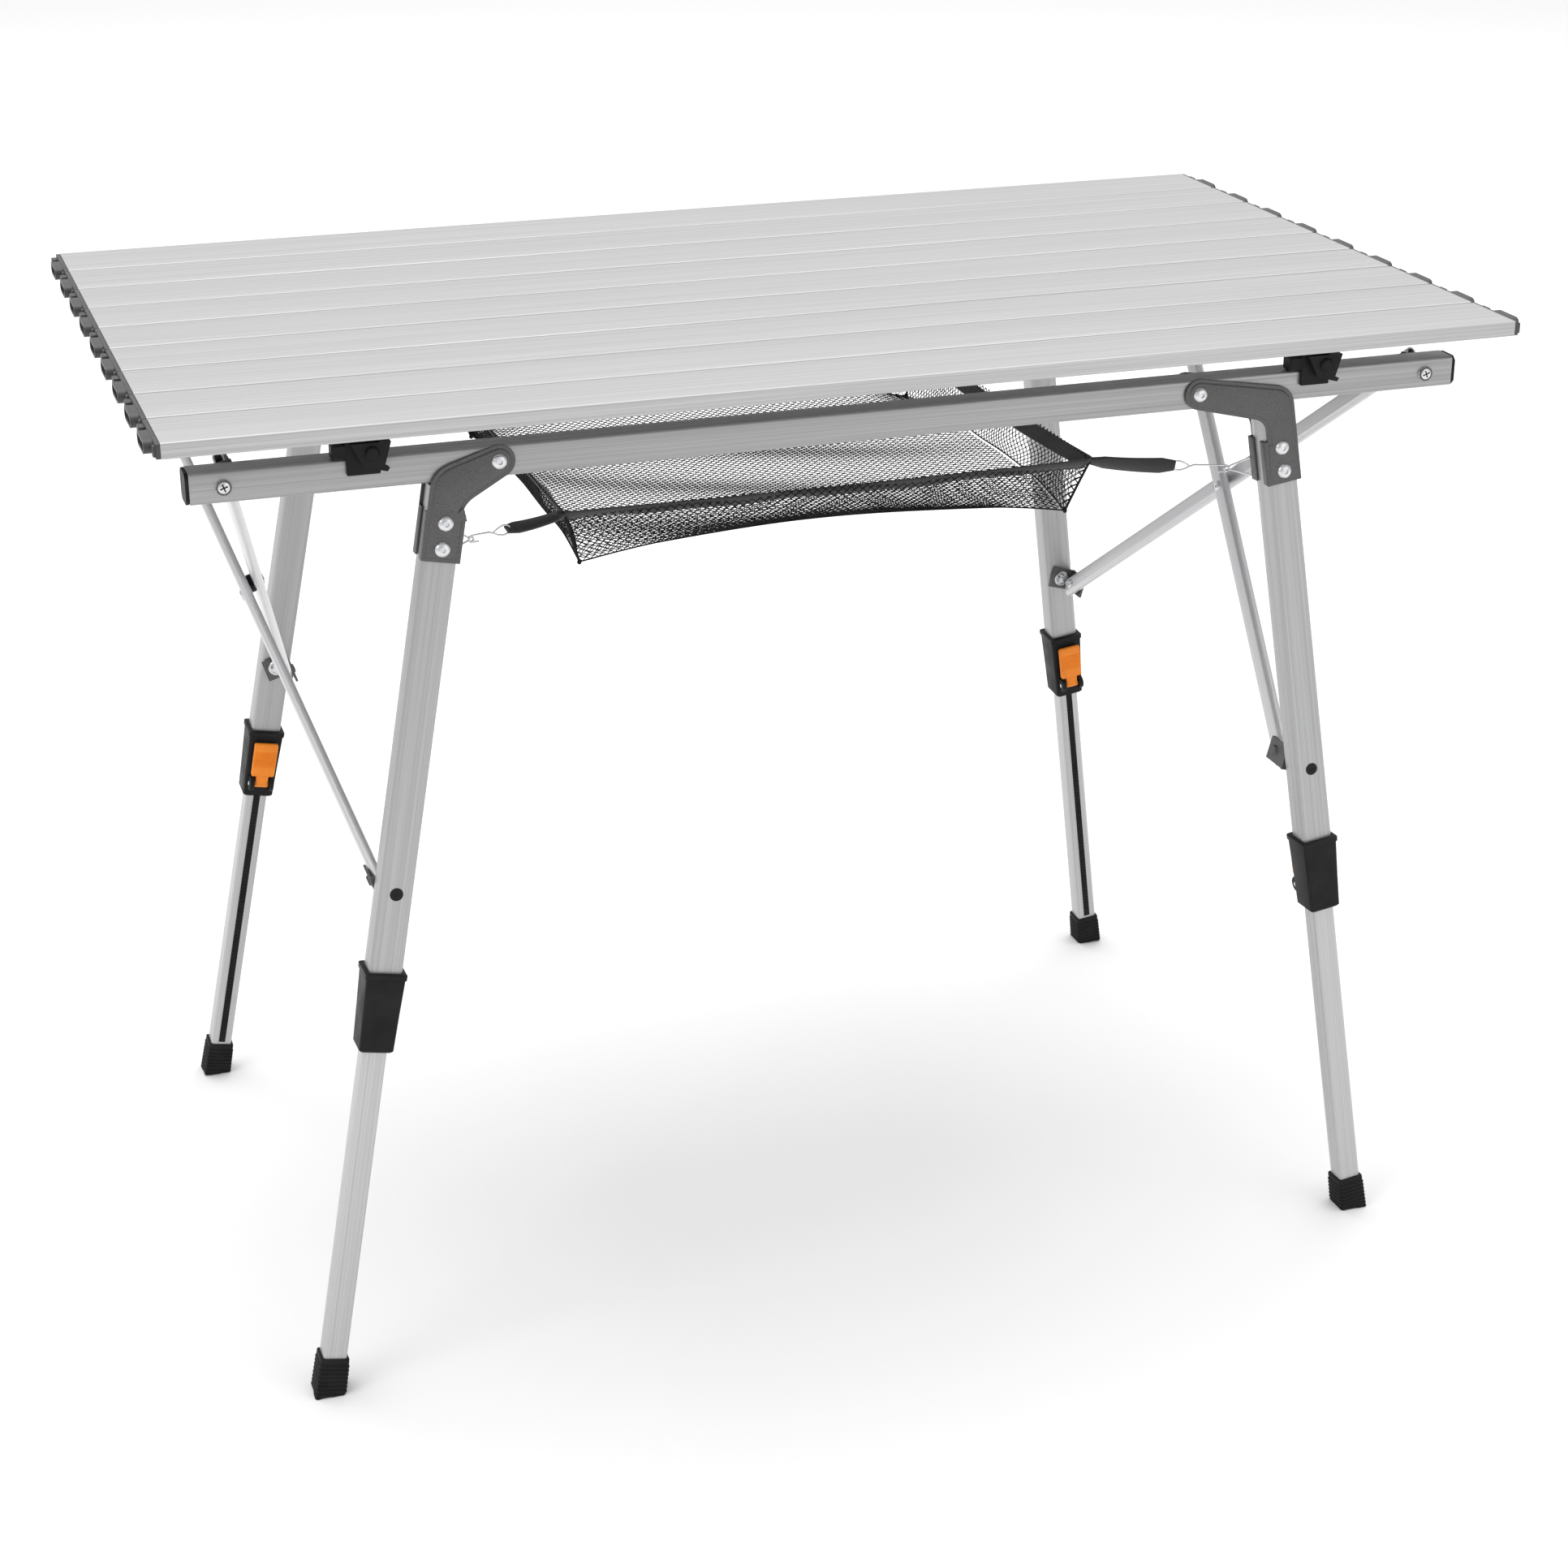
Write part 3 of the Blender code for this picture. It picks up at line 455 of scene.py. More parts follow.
# ---- materials in use ---------------------------------------------------------------------
X_WAY = (1, 0, 0)
TOP_METAL = aluminium("brushed_top", X_WAY, (0.385, 0.385, 0.39), (0.55, 0.55, 0.555),
                      (0.42, 0.56), 1100.0, 0.55)
# Painted shade: the rails get a darker copy of the frame's aluminium.
SHADED_RAIL_METAL = aluminium("rail_extrusion_painted_shade", X_WAY, (0.28, 0.28, 0.285), (0.40, 0.40, 0.405))
HAMMER = hammered()
ZINC = zinc()
BLACK = moulded("black_moulding", (0.007, 0.007, 0.0075), (0.016, 0.016, 0.0165))
PLUG = moulded("end_plug_plastic", (0.035, 0.034, 0.034), (0.060, 0.058, 0.057), (0.35, 0.5),
               shine=0.5)
ORANGE = moulded("orange_lever", (0.78, 0.215, 0.020), (0.88, 0.265, 0.028), (0.32, 0.48),
                 1500.0, 0.15, 0.10)
RUBBER = moulded("foot_rubber", (0.008, 0.008, 0.008), (0.018, 0.018, 0.018), (0.55, 0.75),
                 1400.0, 0.4)
CORD = moulded("net_cord", (0.006, 0.006, 0.007), (0.018, 0.018, 0.020), (0.7, 0.9), 3000.0, 0.5)
WEB = webbing()


# ---- the top ------------------------------------------------------------------------------
def slat_edge(half):
    """Half of a slat's channel section, from the middle of the top to the inside of one edge."""
    wall, lip, radius = 0.0014, 0.0050, 0.0013
    edge = [(half - radius + radius * math.sin(a), -radius + radius * math.cos(a))
            for a in [math.radians(18 * k) for k in range(6)]]
    return edge + [(half, -SLAT_THICK + 0.0004), (half - 0.0004, -SLAT_THICK),
                   (half - lip, -SLAT_THICK), (half - lip, wall - SLAT_THICK),
                   (half - wall, wall - SLAT_THICK), (half - wall, -wall)]


def slat_loop(index):
    """Section of one slat. Its rear edge stops short, so that the joint shows as a dark line."""
    rear = SLAT_HALF - (SLAT_JOINT if index < SLATS - 1 else 0.0)
    return slat_edge(rear) + [(-y, z) for y, z in reversed(slat_edge(SLAT_HALF))]


def make_slat(index):
    """One aluminium channel with its two end plugs."""
    name = "slat_{}".format(index + 1)
    y = SLAT_Y[index]
    work = bmesh.new()
    loop = slat_loop(index)
    join_rings(work, [[(x, y + v, TOP_Z + z) for v, z in loop] for x in (-TOP_HALF, TOP_HALF)])
    panel = add("top_panel_{}".format(index + 1), work, TOP_METAL, smooth=25)
    dress(panel, name, "top_aluminium", name)
    for side in SIDES:
        make_plug(index, side, y)


def make_plug(index, side, y):
    """Dark end plug: cover plate, an oval link with its filling, and three square lugs."""
    out = SIGN[side]
    work = bmesh.new()
    centre = TOP_Z - SLAT_THICK / 2

    def block(x0, x1, y0, y1, z0, z1, bevel):
        xs = sorted((out * (TOP_HALF + x0), out * (TOP_HALF + x1)))
        join_box(work, (xs[0], y + y0, centre + z0), (xs[1], y + y1, centre + z1), bevel)

    half = SLAT_HALF
    block(0.0, 0.0030, -half + 0.0002, half - 0.0002, -0.0048, 0.0046, 0.0005)
    block(0.0026, 0.0070, 0.0150, 0.0235, -0.0036, 0.0034, 0.0005)
    block(0.0026, 0.0046, -half + 0.0008, -half + 0.0055, -0.0036, 0.0034, 0.0005)
    block(0.0026, 0.0040, 0.0105, 0.0155, -0.0030, 0.0020, 0.0004)
    outer = rounded(0.0140, 0.0043, 0.0042, 6)
    inner = rounded(0.0124, 0.0027, 0.0026, 6)
    place = Matrix.Translation((0, y - 0.0050, centre))
    zs = sorted((out * (TOP_HALF + 0.0026), out * (TOP_HALF + 0.0088)))
    join_tube(work, outer, inner, zs[0], zs[1], place @ Z_TO_X)
    block(0.0026, 0.0052, -0.0180, 0.0080, -0.0030, 0.0030, 0.0004)
    obj = add("end_plug_{}_{}".format(index + 1, side), work, PLUG)
    dress(obj, "slat_{}".format(index + 1), "black_plastic")


# ---- rails --------------------------------------------------------------------------------
def make_rail(face):
    """A long rail: square tube with round edges."""
    work = bmesh.new()
    turn = Matrix.Translation((0, SIGN[face] * RAIL_Y, RAIL_Z)) @ Z_TO_X
    half = RAIL_SIZE / 2
    join_tube(work, rounded(half, half, 0.0018), rounded(half - 0.0013, half - 0.0013, 0.0006),
              -RAIL_HALF, RAIL_HALF, turn)
    rail = add("rail_profile_" + face, work, SHADED_RAIL_METAL)
    dress(rail, face + "_rail", "frame_tube", "rail_" + face)


# ---- legs ---------------------------------------------------------------------------------
def leg_frame(face, side):
    """The leg's frame: origin on its hinge, Z up along the leg, Y along the hinge."""
    name = "fold" if (face, side) == ("front", "left") else "leg_hinge_{}_{}".format(face, side)
    hinge = JOINTS[name]
    z = Vector(JOINTS["leg_length_{}_{}".format(face, side)]["axis"]).normalized()
    y = (Vector(hinge["axis"]) * SIGN[side]).normalized()
    x = y.cross(z)
    matrix = Matrix((x, y, z)).transposed().to_4x4()
    matrix.translation = Vector(hinge["pos_m"])
    return matrix


def round_corner(before, corner, after, reach):
    """Points of the curve that rounds a corner, starting and ending a reach away from it."""
    steps = 10
    start = corner + (before - corner).normalized() * reach
    stop = corner + (after - corner).normalized() * reach
    shares = [step / steps for step in range(steps + 1)]
    return [(1 - t) ** 2 * start + 2 * t * (1 - t) * corner + t * t * stop for t in shares]


def bracket_outline(side):
    """The plate's outline in the CAD, as (x, z) points, with finer rounding."""
    axis_x = LEG_OFFSET[side]
    bottom = RIVET_DROP[side][1] + BRACKET_TAIL
    flange_top = RIVET_DROP[side][0] - FLANGE_RISE
    half = BRACKET_WIDTH / 2
    outer = Vector((axis_x + half, -KNEE_OUTER[0]))
    inner = Vector((axis_x - BRACKET_WAIST, -KNEE_INNER[0]))
    top = math.atan2(outer.y, outer.x) + math.acos(BRACKET_EYE / outer.length)
    low = math.atan2(inner.y, inner.x) - math.acos(BRACKET_EYE / inner.length)
    sweep = 2 * math.pi - (top - low)
    steps = 18
    angles = [low - sweep * step / steps for step in range(steps + 1)]
    loop = [Vector((math.cos(a), math.sin(a))) * BRACKET_EYE for a in angles]
    end = [Vector((axis_x + half, -bottom)), Vector((axis_x - half, -bottom)),
           Vector((axis_x - half, -flange_top)), Vector((axis_x - BRACKET_WAIST, -flange_top))]
    loop += round_corner(loop[-1], outer, end[0], KNEE_OUTER[1]) + end
    loop += round_corner(end[-1], inner, loop[0], KNEE_INNER[1])
    return loop


def inset_loop(loop, inset):
    """A clockwise loop moved inwards by the same distance along every edge."""
    moved = []
    for i, point in enumerate(loop):
        ahead = (loop[(i + 1) % len(loop)] - point).normalized()
        behind = (point - loop[i - 1]).normalized()
        mean = Vector((ahead.y + behind.y, -ahead.x - behind.x)).normalized()
        share = max(0.5, mean.dot(Vector((ahead.y, -ahead.x))))
        moved.append(point + mean * inset / share)
    return moved


def join_plate(work, side, sign):
    """One pressed plate: rounded edge, a flat border and a raised centre."""
    loop = bracket_outline(side)
    out = SIGN[side]
    steps = ((0.0, PLATE_Y), (0.0, PLATE_Y + 0.0012), (0.0003, PLATE_Y + 0.0015),
             (0.0024, PLATE_Y + 0.0015), (0.0031, PLATE_Y + 0.0022), (0.0034, PLATE_Y + 0.0023))
    rings = [[(out * p.x, sign * y, p.y) for p in inset_loop(loop, inset)] for inset, y in steps]
    part = bmesh.new()
    join_rings(part, rings)
    merge(work, part)


def make_bracket(face, side, leg):
    """Two pressed plates, side flanges, rivets and the wire ring for the net. Gives its tip."""
    name = "{}_{}".format(face, side)
    body = "leg_" + name
    axis_x = SIGN[side] * LEG_OFFSET[side]
    inward = -SIGN[face]
    bottom = RIVET_DROP[side][1] + BRACKET_TAIL
    work = bmesh.new()
    for sign in (-1, 1):
        join_plate(work, side, sign)
        for edge in (-1, 1):
            xs = sorted((axis_x + edge * (UPPER_X / 2 + 0.0002), axis_x + edge * BRACKET_WIDTH / 2))
            ys = sorted((sign * 0.0048, sign * (PLATE_Y + 0.0014)))
            join_box(work, (xs[0], ys[0], -bottom), (xs[1], ys[1], -RIVET_DROP[side][0] + FLANGE_RISE),
                     0.0004)
    plates = add("bracket_" + name, work, HAMMER, leg, 40)
    dress(plates, body, "hammered_steel", "leg_bracket_" + name)
    work = bmesh.new()
    centres = [(0.0, 0.0)] + [(axis_x, -drop) for drop in RIVET_DROP[side]]
    for x, z in centres:
        for sign in (-1, 1):
            place = (x, sign * (PLATE_Y + PLATE_THICK + 0.0004), z)
            join_turned(work, RIVET, aim_z(place, (0, sign, 0)))
    dress(add("rivets_" + name, work, ZINC, leg), body, "zinc_steel")
    work = bmesh.new()
    out = SIGN[side]
    middle = -sum(RIVET_DROP[side]) / 2 - RING_DROP
    ring_y = inward * (PLATE_Y + 0.0004)
    edge_x = axis_x - out * (BRACKET_WIDTH / 2 - 0.0030)
    apex = Vector((axis_x - out * 0.0265, ring_y + inward * 0.0105, middle))
    loop_points = [(edge_x, ring_y, middle - RING_HALF), apex + Vector((out * 0.0018, 0, -0.0010))]
    coil, per_turn, bend = 18, 11, 0.0015
    for k in range(coil + 1):
        angle = -math.pi / 2 + 2 * math.pi * k / per_turn
        loop_points.append(apex + Vector((-out * bend * math.cos(angle),
                                          inward * 0.0010 * (k / coil - 0.5),
                                          bend * math.sin(angle))))
    loop_points += [apex + Vector((out * 0.0018, 0, 0.0010)), (edge_x, ring_y, middle + RING_HALF)]
    join_wire(work, loop_points, 0.00065)
    dress(add("net_ring_" + name, work, ZINC, leg), body, "zinc_steel")
    return leg @ apex


def make_leg(face, side, leg):
    """Upper tube with its hole plug, then the collar, the lower tube and the foot."""
    name = "{}_{}".format(face, side)
    axis_x = SIGN[side] * LEG_OFFSET[side]
    inward = -SIGN[face]
    shift = leg @ Matrix.Translation((axis_x, 0, 0))
    down = leg.to_3x3() @ Vector((0, 0, -1))
    # Painted shade and light: one aluminium in two copies, darker on the upper tube and lighter on the
    # lower tube.
    upper = aluminium("upper_extrusion_painted_shade_" + name, down, (0.33, 0.33, 0.335), (0.45, 0.45, 0.455))
    lower = aluminium("lower_extrusion_painted_light_" + name, down, (0.43, 0.43, 0.435), (0.54, 0.54, 0.545))
    work = bmesh.new()
    join_tube(work, rounded(UPPER_X / 2, UPPER_Y / 2, 0.0026),
              rounded(UPPER_X / 2 - 0.0012, UPPER_Y / 2 - 0.0012, 0.0014),
              -UPPER_BOTTOM, -UPPER_TOP)
    dress(add("upper_tube_" + name, work, upper, shift), "leg_" + name, "frame_tube",
          "upper_leg_" + name)
    work = bmesh.new()
    button = ((0, -0.0003), (0.0042, -0.0003), (0.0044, 0.0002), (0.0038, 0.0007),
              (0.0016, 0.0008), (0.0012, 0.0004), (0, 0.0004))
    join_turned(work, button, aim_z((0, -inward * UPPER_Y / 2, -HOLE_DROP), (0, -inward, 0)))
    dress(add("hole_plug_" + name, work, BLACK, shift), "leg_" + name, "black_plastic")
    make_collar(name, inward, shift)
    make_lower(name, inward, shift, lower)
    make_foot(name, inward, shift)


def make_collar(name, inward, shift):
    """Tapered collar with a rim, two ears on its inner face, and the lever's pin between them."""
    half = COLLAR_WIDE / 2
    low = COLLAR_NARROW / 2
    work = bmesh.new()
    middle = (COLLAR_TOP + COLLAR_BOTTOM) / 2

    def section(drop, grow):
        share = (drop - COLLAR_TOP) / (COLLAR_BOTTOM - COLLAR_TOP)
        size = half + (low - half) * share + grow
        return [(u, v, -drop) for u, v in rounded(size, size, 0.0022)]

    inner_top = rounded(UPPER_X / 2 + 0.0002, UPPER_Y / 2 + 0.0002, 0.0016)
    inner_low = rounded(LOWER / 2 + 0.0003, LOWER / 2 + 0.0009, 0.0006)
    rings = [[(u, v, -UPPER_BOTTOM) for u, v in inner_top],
             [(u, v, -COLLAR_TOP + 0.0002) for u, v in inner_top],
             section(COLLAR_TOP - 0.0002, -0.0010), section(COLLAR_TOP + 0.0004, 0.0),
             section(COLLAR_TOP + 0.0036, 0.0), section(COLLAR_TOP + 0.0042, -0.0007),
             section(middle, -0.0006), section(COLLAR_BOTTOM - 0.0012, -0.0003),
             section(COLLAR_BOTTOM, -0.0014),
             [(u, v, -COLLAR_BOTTOM) for u, v in inner_low],
             [(u, v, -UPPER_BOTTOM - 0.0003) for u, v in inner_low]]
    join_rings(work, rings + [rings[0]], caps=False)
    bmesh.ops.remove_doubles(work, verts=work.verts, dist=0.00001)
    ear_y = half * COLLAR_NARROW / COLLAR_WIDE + 0.0036
    for sign in (-1, 1):
        lug = bmesh.new()
        outline = [(0.0092, 0.0058), (0.0150, 0.0058)]
        outline += [(ear_y + 0.0056 * math.cos(a), 0.0056 * math.sin(a))
                    for a in [math.radians(70 - 20 * k) for k in range(9)]]
        outline += [(0.0088, -0.0066)]
        join_rings(lug, [[(x, inward * y, z - LEVER_DROP) for y, z in outline]
                         for x in (sign * 0.0059, sign * 0.0093)])
        bmesh.ops.recalc_face_normals(lug, faces=lug.faces)
        bmesh.ops.bevel(lug, geom=lug.edges[:], offset=0.0003, segments=1, affect="EDGES")
        merge(work, lug)
    dress(add("collar_shell_" + name, work, BLACK, shift, 30), "leg_" + name, "black_plastic",
          "collar_" + name)
    work = bmesh.new()
    for sign in (-1, 1):
        place = (sign * 0.0092, inward * ear_y, -LEVER_DROP)
        join_turned(work, ((0, 0), (0.0017, 0), (0.0017, 0.0004), (0.0013, 0.0007), (0, 0.0008)),
                    aim_z(place, (sign, 0, 0)), 16)
    dress(add("lever_pin_" + name, work, ZINC, shift), "leg_" + name, "zinc_steel")
    make_lever(name, inward, shift, ear_y)


def make_lever(name, inward, shift, ear_y):
    """Orange cam lever: a crowned thumb pad with fine ribs, a neck and a round cam."""
    work = bmesh.new()
    origin = Matrix.Translation((0, inward * ear_y, -LEVER_DROP))
    if inward < 0:
        origin = origin @ Matrix.Rotation(math.pi, 4, "Z")
    rings = []
    rows = 46
    for row in range(rows + 1):
        t = row / rows
        z = 0.0070 + 0.0275 * t
        edge = min(1.0, 14 * t + 0.40, 14 * (1 - t) + 0.40)
        wide = (0.0088 + 0.0004 * t) * (0.90 + 0.10 * edge)
        crown = 0.0030 + 0.0010 * math.cos(2.6 * (t - 0.42))
        if 0.30 < t < 0.80 and row % 2:
            crown -= 0.00040
        back = -0.0012 + 0.0006 * t
        thick = (crown - back) / 2 * (0.35 + 0.65 * edge)
        middle = (crown + back) / 2
        rings.append([(u, middle + v, z) for u, v in rounded(wide, thick, min(0.0009, thick * 0.8))])
    join_rings(work, rings)
    join_box(work, (-0.0048, -0.0010, 0.0002), (0.0048, 0.0026, 0.0100), 0.0005)
    join_turned(work, ((0, -0.0052), (0.0026, -0.0052), (0.0028, -0.0049), (0.0028, 0.0049),
                       (0.0026, 0.0052), (0, 0.0052)), aim_z((0, 0, 0), (1, 0, 0)))
    obj = add("thumb_lever_" + name, work, ORANGE, shift @ origin, 50)
    dress(obj, "lever_" + name, "orange_plastic", "cam_lever_" + name)


def make_lower(name, inward, shift, metal):
    """Lower tube with the toothed lock strip on its inner face."""
    work = bmesh.new()
    half = LOWER / 2
    join_tube(work, rounded(half, half, 0.0018), rounded(half - 0.0012, half - 0.0012, 0.0008),
              -LOWER_BOTTOM, -LOWER_TOP)
    dress(add("lower_tube_" + name, work, metal, shift), "lower_" + name, "frame_tube",
          "lower_leg_" + name)
    work = bmesh.new()
    pitch = 0.0030
    count = int((FOOT_TOP - LOWER_TOP - 0.010) / pitch)
    ys = sorted((inward * (half - 0.0002), inward * (half + 0.00015)))
    join_box(work, (-RACK_HALF, ys[0], -FOOT_TOP + 0.002), (RACK_HALF, ys[1], -LOWER_TOP - 0.004))
    ys = sorted((inward * half, inward * (half + 0.0005)))
    for tooth in range(count):
        z = -LOWER_TOP - 0.006 - tooth * pitch
        join_box(work, (0.0004 - RACK_HALF, ys[0], z - 0.0018), (RACK_HALF - 0.0004, ys[1], z))
    dress(add("rack_strip_" + name, work, BLACK, shift), "lower_" + name, "black_plastic")


def make_foot(name, inward, shift):
    """Ribbed rubber foot, cut level with the floor, with the screw on its inner face."""
    work = bmesh.new()
    rings = []
    base = LOWER / 2 + 0.0017
    for drop, grow in ((0.0, -0.0010), (0.0006, 0.0), (0.0035, 0.0001), (0.0040, -0.0004)):
        size = base + grow
        rings.append([(u, v, -FOOT_TOP - drop) for u, v in rounded(size, size, 0.0020, 3)])
    drop = 0.0048
    while drop < 0.050:
        share = drop / 0.045
        for step, ridge in ((0.0, 0.0), (0.0004, 0.0006), (0.0016, 0.0006), (0.0020, 0.0)):
            size = base - 0.0002 + 0.0008 * share + ridge
            rings.append([(u, v, -FOOT_TOP - drop - step)
                          for u, v in rounded(size, size, 0.0020, 3)])
        drop += 0.0030
    join_rings(work, rings)
    work.transform(shift)
    cut = bmesh.ops.bisect_plane(work, geom=work.verts[:] + work.edges[:] + work.faces[:],
                                 plane_co=(0, 0, 0), plane_no=(0, 0, -1), clear_outer=True)
    edges = [g for g in cut["geom_cut"] if isinstance(g, bmesh.types.BMEdge)]
    bmesh.ops.edgeloop_fill(work, edges=edges)
    dress(add("rubber_foot_" + name, work, RUBBER, None, 25), "lower_" + name, "foot_rubber",
          "foot_" + name)
    work = bmesh.new()
    place = (0, inward * (base + 0.0004), -FOOT_TOP - 0.011)
    join_turned(work, ((0, 0), (0.0028, 0), (0.0029, 0.0003), (0.0022, 0.0008), (0.0011, 0.0009),
                       (0.0010, 0.0004), (0, 0.0004)), aim_z(place, (0, inward, 0)), 16)
    dress(add("foot_screw_" + name, work, BLACK, shift), "lower_" + name, "black_plastic")


# ---- struts -------------------------------------------------------------------------------
def make_strut(face, side):
    """Flat oval tube from a rail down to the leg across, with its rivets."""
    name = "{}_{}".format(face, side)
    other = "rear" if face == "front" else "front"
    inward = -SIGN[face]
    lie = 1 if face == "front" else -1
    top = Vector(JOINTS["strut_tilt_" + name]["pos_m"])
    low = Vector(JOINTS["leg_swivel_{}_{}".format(other, side)]["pos_m"])
    across = (Vector(JOINTS["strut_tilt_" + name]["axis"]) * -inward).normalized()
    up = (top - low).normalized()
    side_way = up.cross(across)
    matrix = Matrix((across, side_way, up)).transposed().to_4x4()
    matrix.translation = low
    length = (top - low).length
    metal = aluminium("strut_tube_" + name, up, (0.56, 0.56, 0.57), (0.70, 0.70, 0.71))
    work = bmesh.new()
    join_tube(work, rounded(STRUT_THICK / 2, STRUT_WIDE / 2, 0.0034, 6),
              rounded(STRUT_THICK / 2 - 0.0011, STRUT_WIDE / 2 - 0.0011, 0.0022, 6),
              -STRUT_END, length + STRUT_END)
    dress(add("strut_tube_" + name, work, metal, matrix), "strut_" + name, "frame_tube",
          "strut_" + name)
    work = bmesh.new()
    head = ((0, -0.0002), (0.0039, -0.0002), (0.0040, 0.0002), (0.0034, 0.0010), (0.0018, 0.0015),
            (0.0012, 0.0009), (0, 0.0009))
    for height in (0.0, length):
        join_turned(work, head, aim_z((-lie * STRUT_THICK / 2, 0, height), (-lie, 0, 0)), 20)
    join_turned(work, head, aim_z((lie * STRUT_THICK / 2, 0, length / 2), (lie, 0, 0)), 20)
    dress(add("strut_rivets_" + name, work, ZINC, matrix), "strut_" + name, "zinc_steel")
    if face == "front":
        work = bmesh.new()
        join_turned(work, ((0, -0.0003), (0.0062, -0.0003), (0.0064, 0.0002), (0.0064, 0.0027),
                           (0.0060, 0.0030), (0, 0.0030)),
                    aim_z((-STRUT_THICK / 2, 0, length / 2), (-1, 0, 0)), 20)
        dress(add("crossing_washer_" + side, work, BLACK, matrix), "strut_" + name,
              "black_plastic")
    make_fixings(name, other, side, inward, across)


def hexagon(work, matrix, radius, low, high):
    """A nut with chamfered ends, between two heights on the matrix's Z."""
    rings = []
    for size, z in ((radius * 0.93, low), (radius, low + 0.0004), (radius, high - 0.0006),
                    (radius * 0.86, high)):
        rings.append([(size * math.cos(math.radians(60 * k)), size * math.sin(math.radians(60 * k)),
                       z) for k in range(6)])
    part = bmesh.new()
    join_rings(part, rings)
    part.transform(matrix)
    merge(work, part)


def make_fixings(name, other, side, inward, across):
    """Bolt head, nut and thread end on both swivel brackets of a strut."""
    bolt = Vector(JOINTS["rail_swivel_" + name]["pos_m"])
    body = "top_swivel_" + name
    work = bmesh.new()
    head = aim_z(bolt + Vector((0, -inward * (RAIL_SIZE + 0.0004), 0)), (0, -inward, 0))
    join_turned(work, SCREW, head)
    nut = aim_z(bolt + Vector((0, inward * 0.0017, 0)), (0, inward, 0))
    hexagon(work, nut, 0.0042, 0.0, 0.0028)
    join_turned(work, ((0, 0.0), (0.0021, 0.0), (0.0021, 0.0031), (0.0017, 0.0034), (0, 0.0034)),
                nut, 12)
    dress(add("rail_bolt_" + name, work, ZINC), body, "zinc_steel")
    work = bmesh.new()
    # Painted shade: dark bars stand for the screw head's cross recess.
    join_cross_shade_bars(work, head)
    dress(add("screw_cross_painted_shade_" + name, work, BLACK), body, "zinc_steel")
    ear = Vector(JOINTS["leg_swivel_{}_{}".format(other, side)]["pos_m"])
    lie = 1 if name.startswith("front") else -1
    seat = ear - across * lie * STRUT_SHIFT + Vector((0, inward * 0.0160, 0))
    splay = Vector((0, math.cos(LEG_SPLAY), SIGN[other] * math.sin(LEG_SPLAY)))
    work = bmesh.new()
    nut = aim_z(seat - splay * inward * 0.0019, -splay * inward)
    join_turned(work, ((0, 0), (0.0061, 0), (0.0062, 0.0003), (0.0058, 0.0007), (0, 0.0007)), nut)
    hexagon(work, nut, 0.0044, 0.0004, 0.0027)
    join_turned(work, ((0, 0.0), (0.0022, 0.0), (0.0022, 0.0030), (0.0018, 0.0032), (0, 0.0032)),
                nut, 12)
    dress(add("leg_bolt_{}_{}".format(other, side), work, ZINC),
          "bottom_swivel_{}_{}".format(other, side), "zinc_steel")


# ---- storage net --------------------------------------------------------------------------
NET_PITCH = 0.0056
NET_DROP_X, NET_DROP_Y = 0.0130, 0.0120  # how far the bottom is pulled in on each side
NET_CLEAR = 0.002  # kept free inside the CAD's tray
STRAND_RADIUS = 0.00031
THIRD_OF_TURN = 2.0944
SEAM_REACH = 0.70  # share of the wall that a corner seam climbs
STRAP_TURN = {"left": 1.05, "right": 0.25}  # radians that the strap's flat leans off upright
STRAP_HALF = {"left": 0.0052, "right": 0.0062}
HOOK_SHARE = 0.36  # of the way from the bracket's ring to the net
TIE_INSET, TIE_DROP = 0.006, 0.004  # where a strap starts at the net's corner


def net_half(low, high):
    """Half the length and half the width of the net's bottom."""
    return ((high.x - low.x) / 2 - NET_DROP_X - NET_CLEAR,
            (high.y - low.y) / 2 - NET_DROP_Y - NET_CLEAR)


def net_point(u, v, low, high, deep):
    """A point of the hung net at flat coordinates, folded up at the four sides."""
    half_x, half_y = net_half(low, high)
    over_u, over_v = max(0.0, abs(u) - half_x), max(0.0, abs(v) - half_y)
    rise = min(1.0, math.hypot(over_u, over_v) / deep)
    side_u, side_v = math.copysign(1, u), math.copysign(1, v)
    x = side_u * min(abs(u), half_x)
    y = side_v * min(abs(v), half_y)
    x += side_u * rise * (NET_DROP_X if over_u else NET_DROP_X * (abs(u) / half_x))
    y += side_v * rise * (NET_DROP_Y if over_v else NET_DROP_Y * (abs(v) / half_y))
    edge_u, edge_v = min(abs(u) / half_x, 1.0), min(abs(v) / half_y, 1.0)
    lift = 0.0100 * (1 - edge_u ** 3) * edge_v ** 4 + 0.0080 * (1 - edge_v ** 3) * edge_u ** 4
    pull = max(0.0, edge_u + edge_v - 1.72) * 3.6
    gather = 0.0009 * math.sin(30 * u + 5 * math.sin(13 * v)) * (1 - 0.8 * rise)
    gather += 0.0005 * math.sin(70 * v + 16 * u) * (1 - rise)
    bottom = low.z + 0.0026 + (lift + gather) * (1 - rise) - 0.0020 * pull * (1 - rise)
    z = bottom + (high.z - 0.0018 - bottom) * rise
    bow = 0.0028 * math.sin(math.pi * rise)
    if over_v and not over_u:
        y += side_v * bow * math.sin(60 * u + 2.0 * rise)
    elif over_u and not over_v:
        x += side_u * bow * math.sin(60 * v + 2.0 * rise)
    return Vector((x, y, max(z, low.z + 0.0006)))


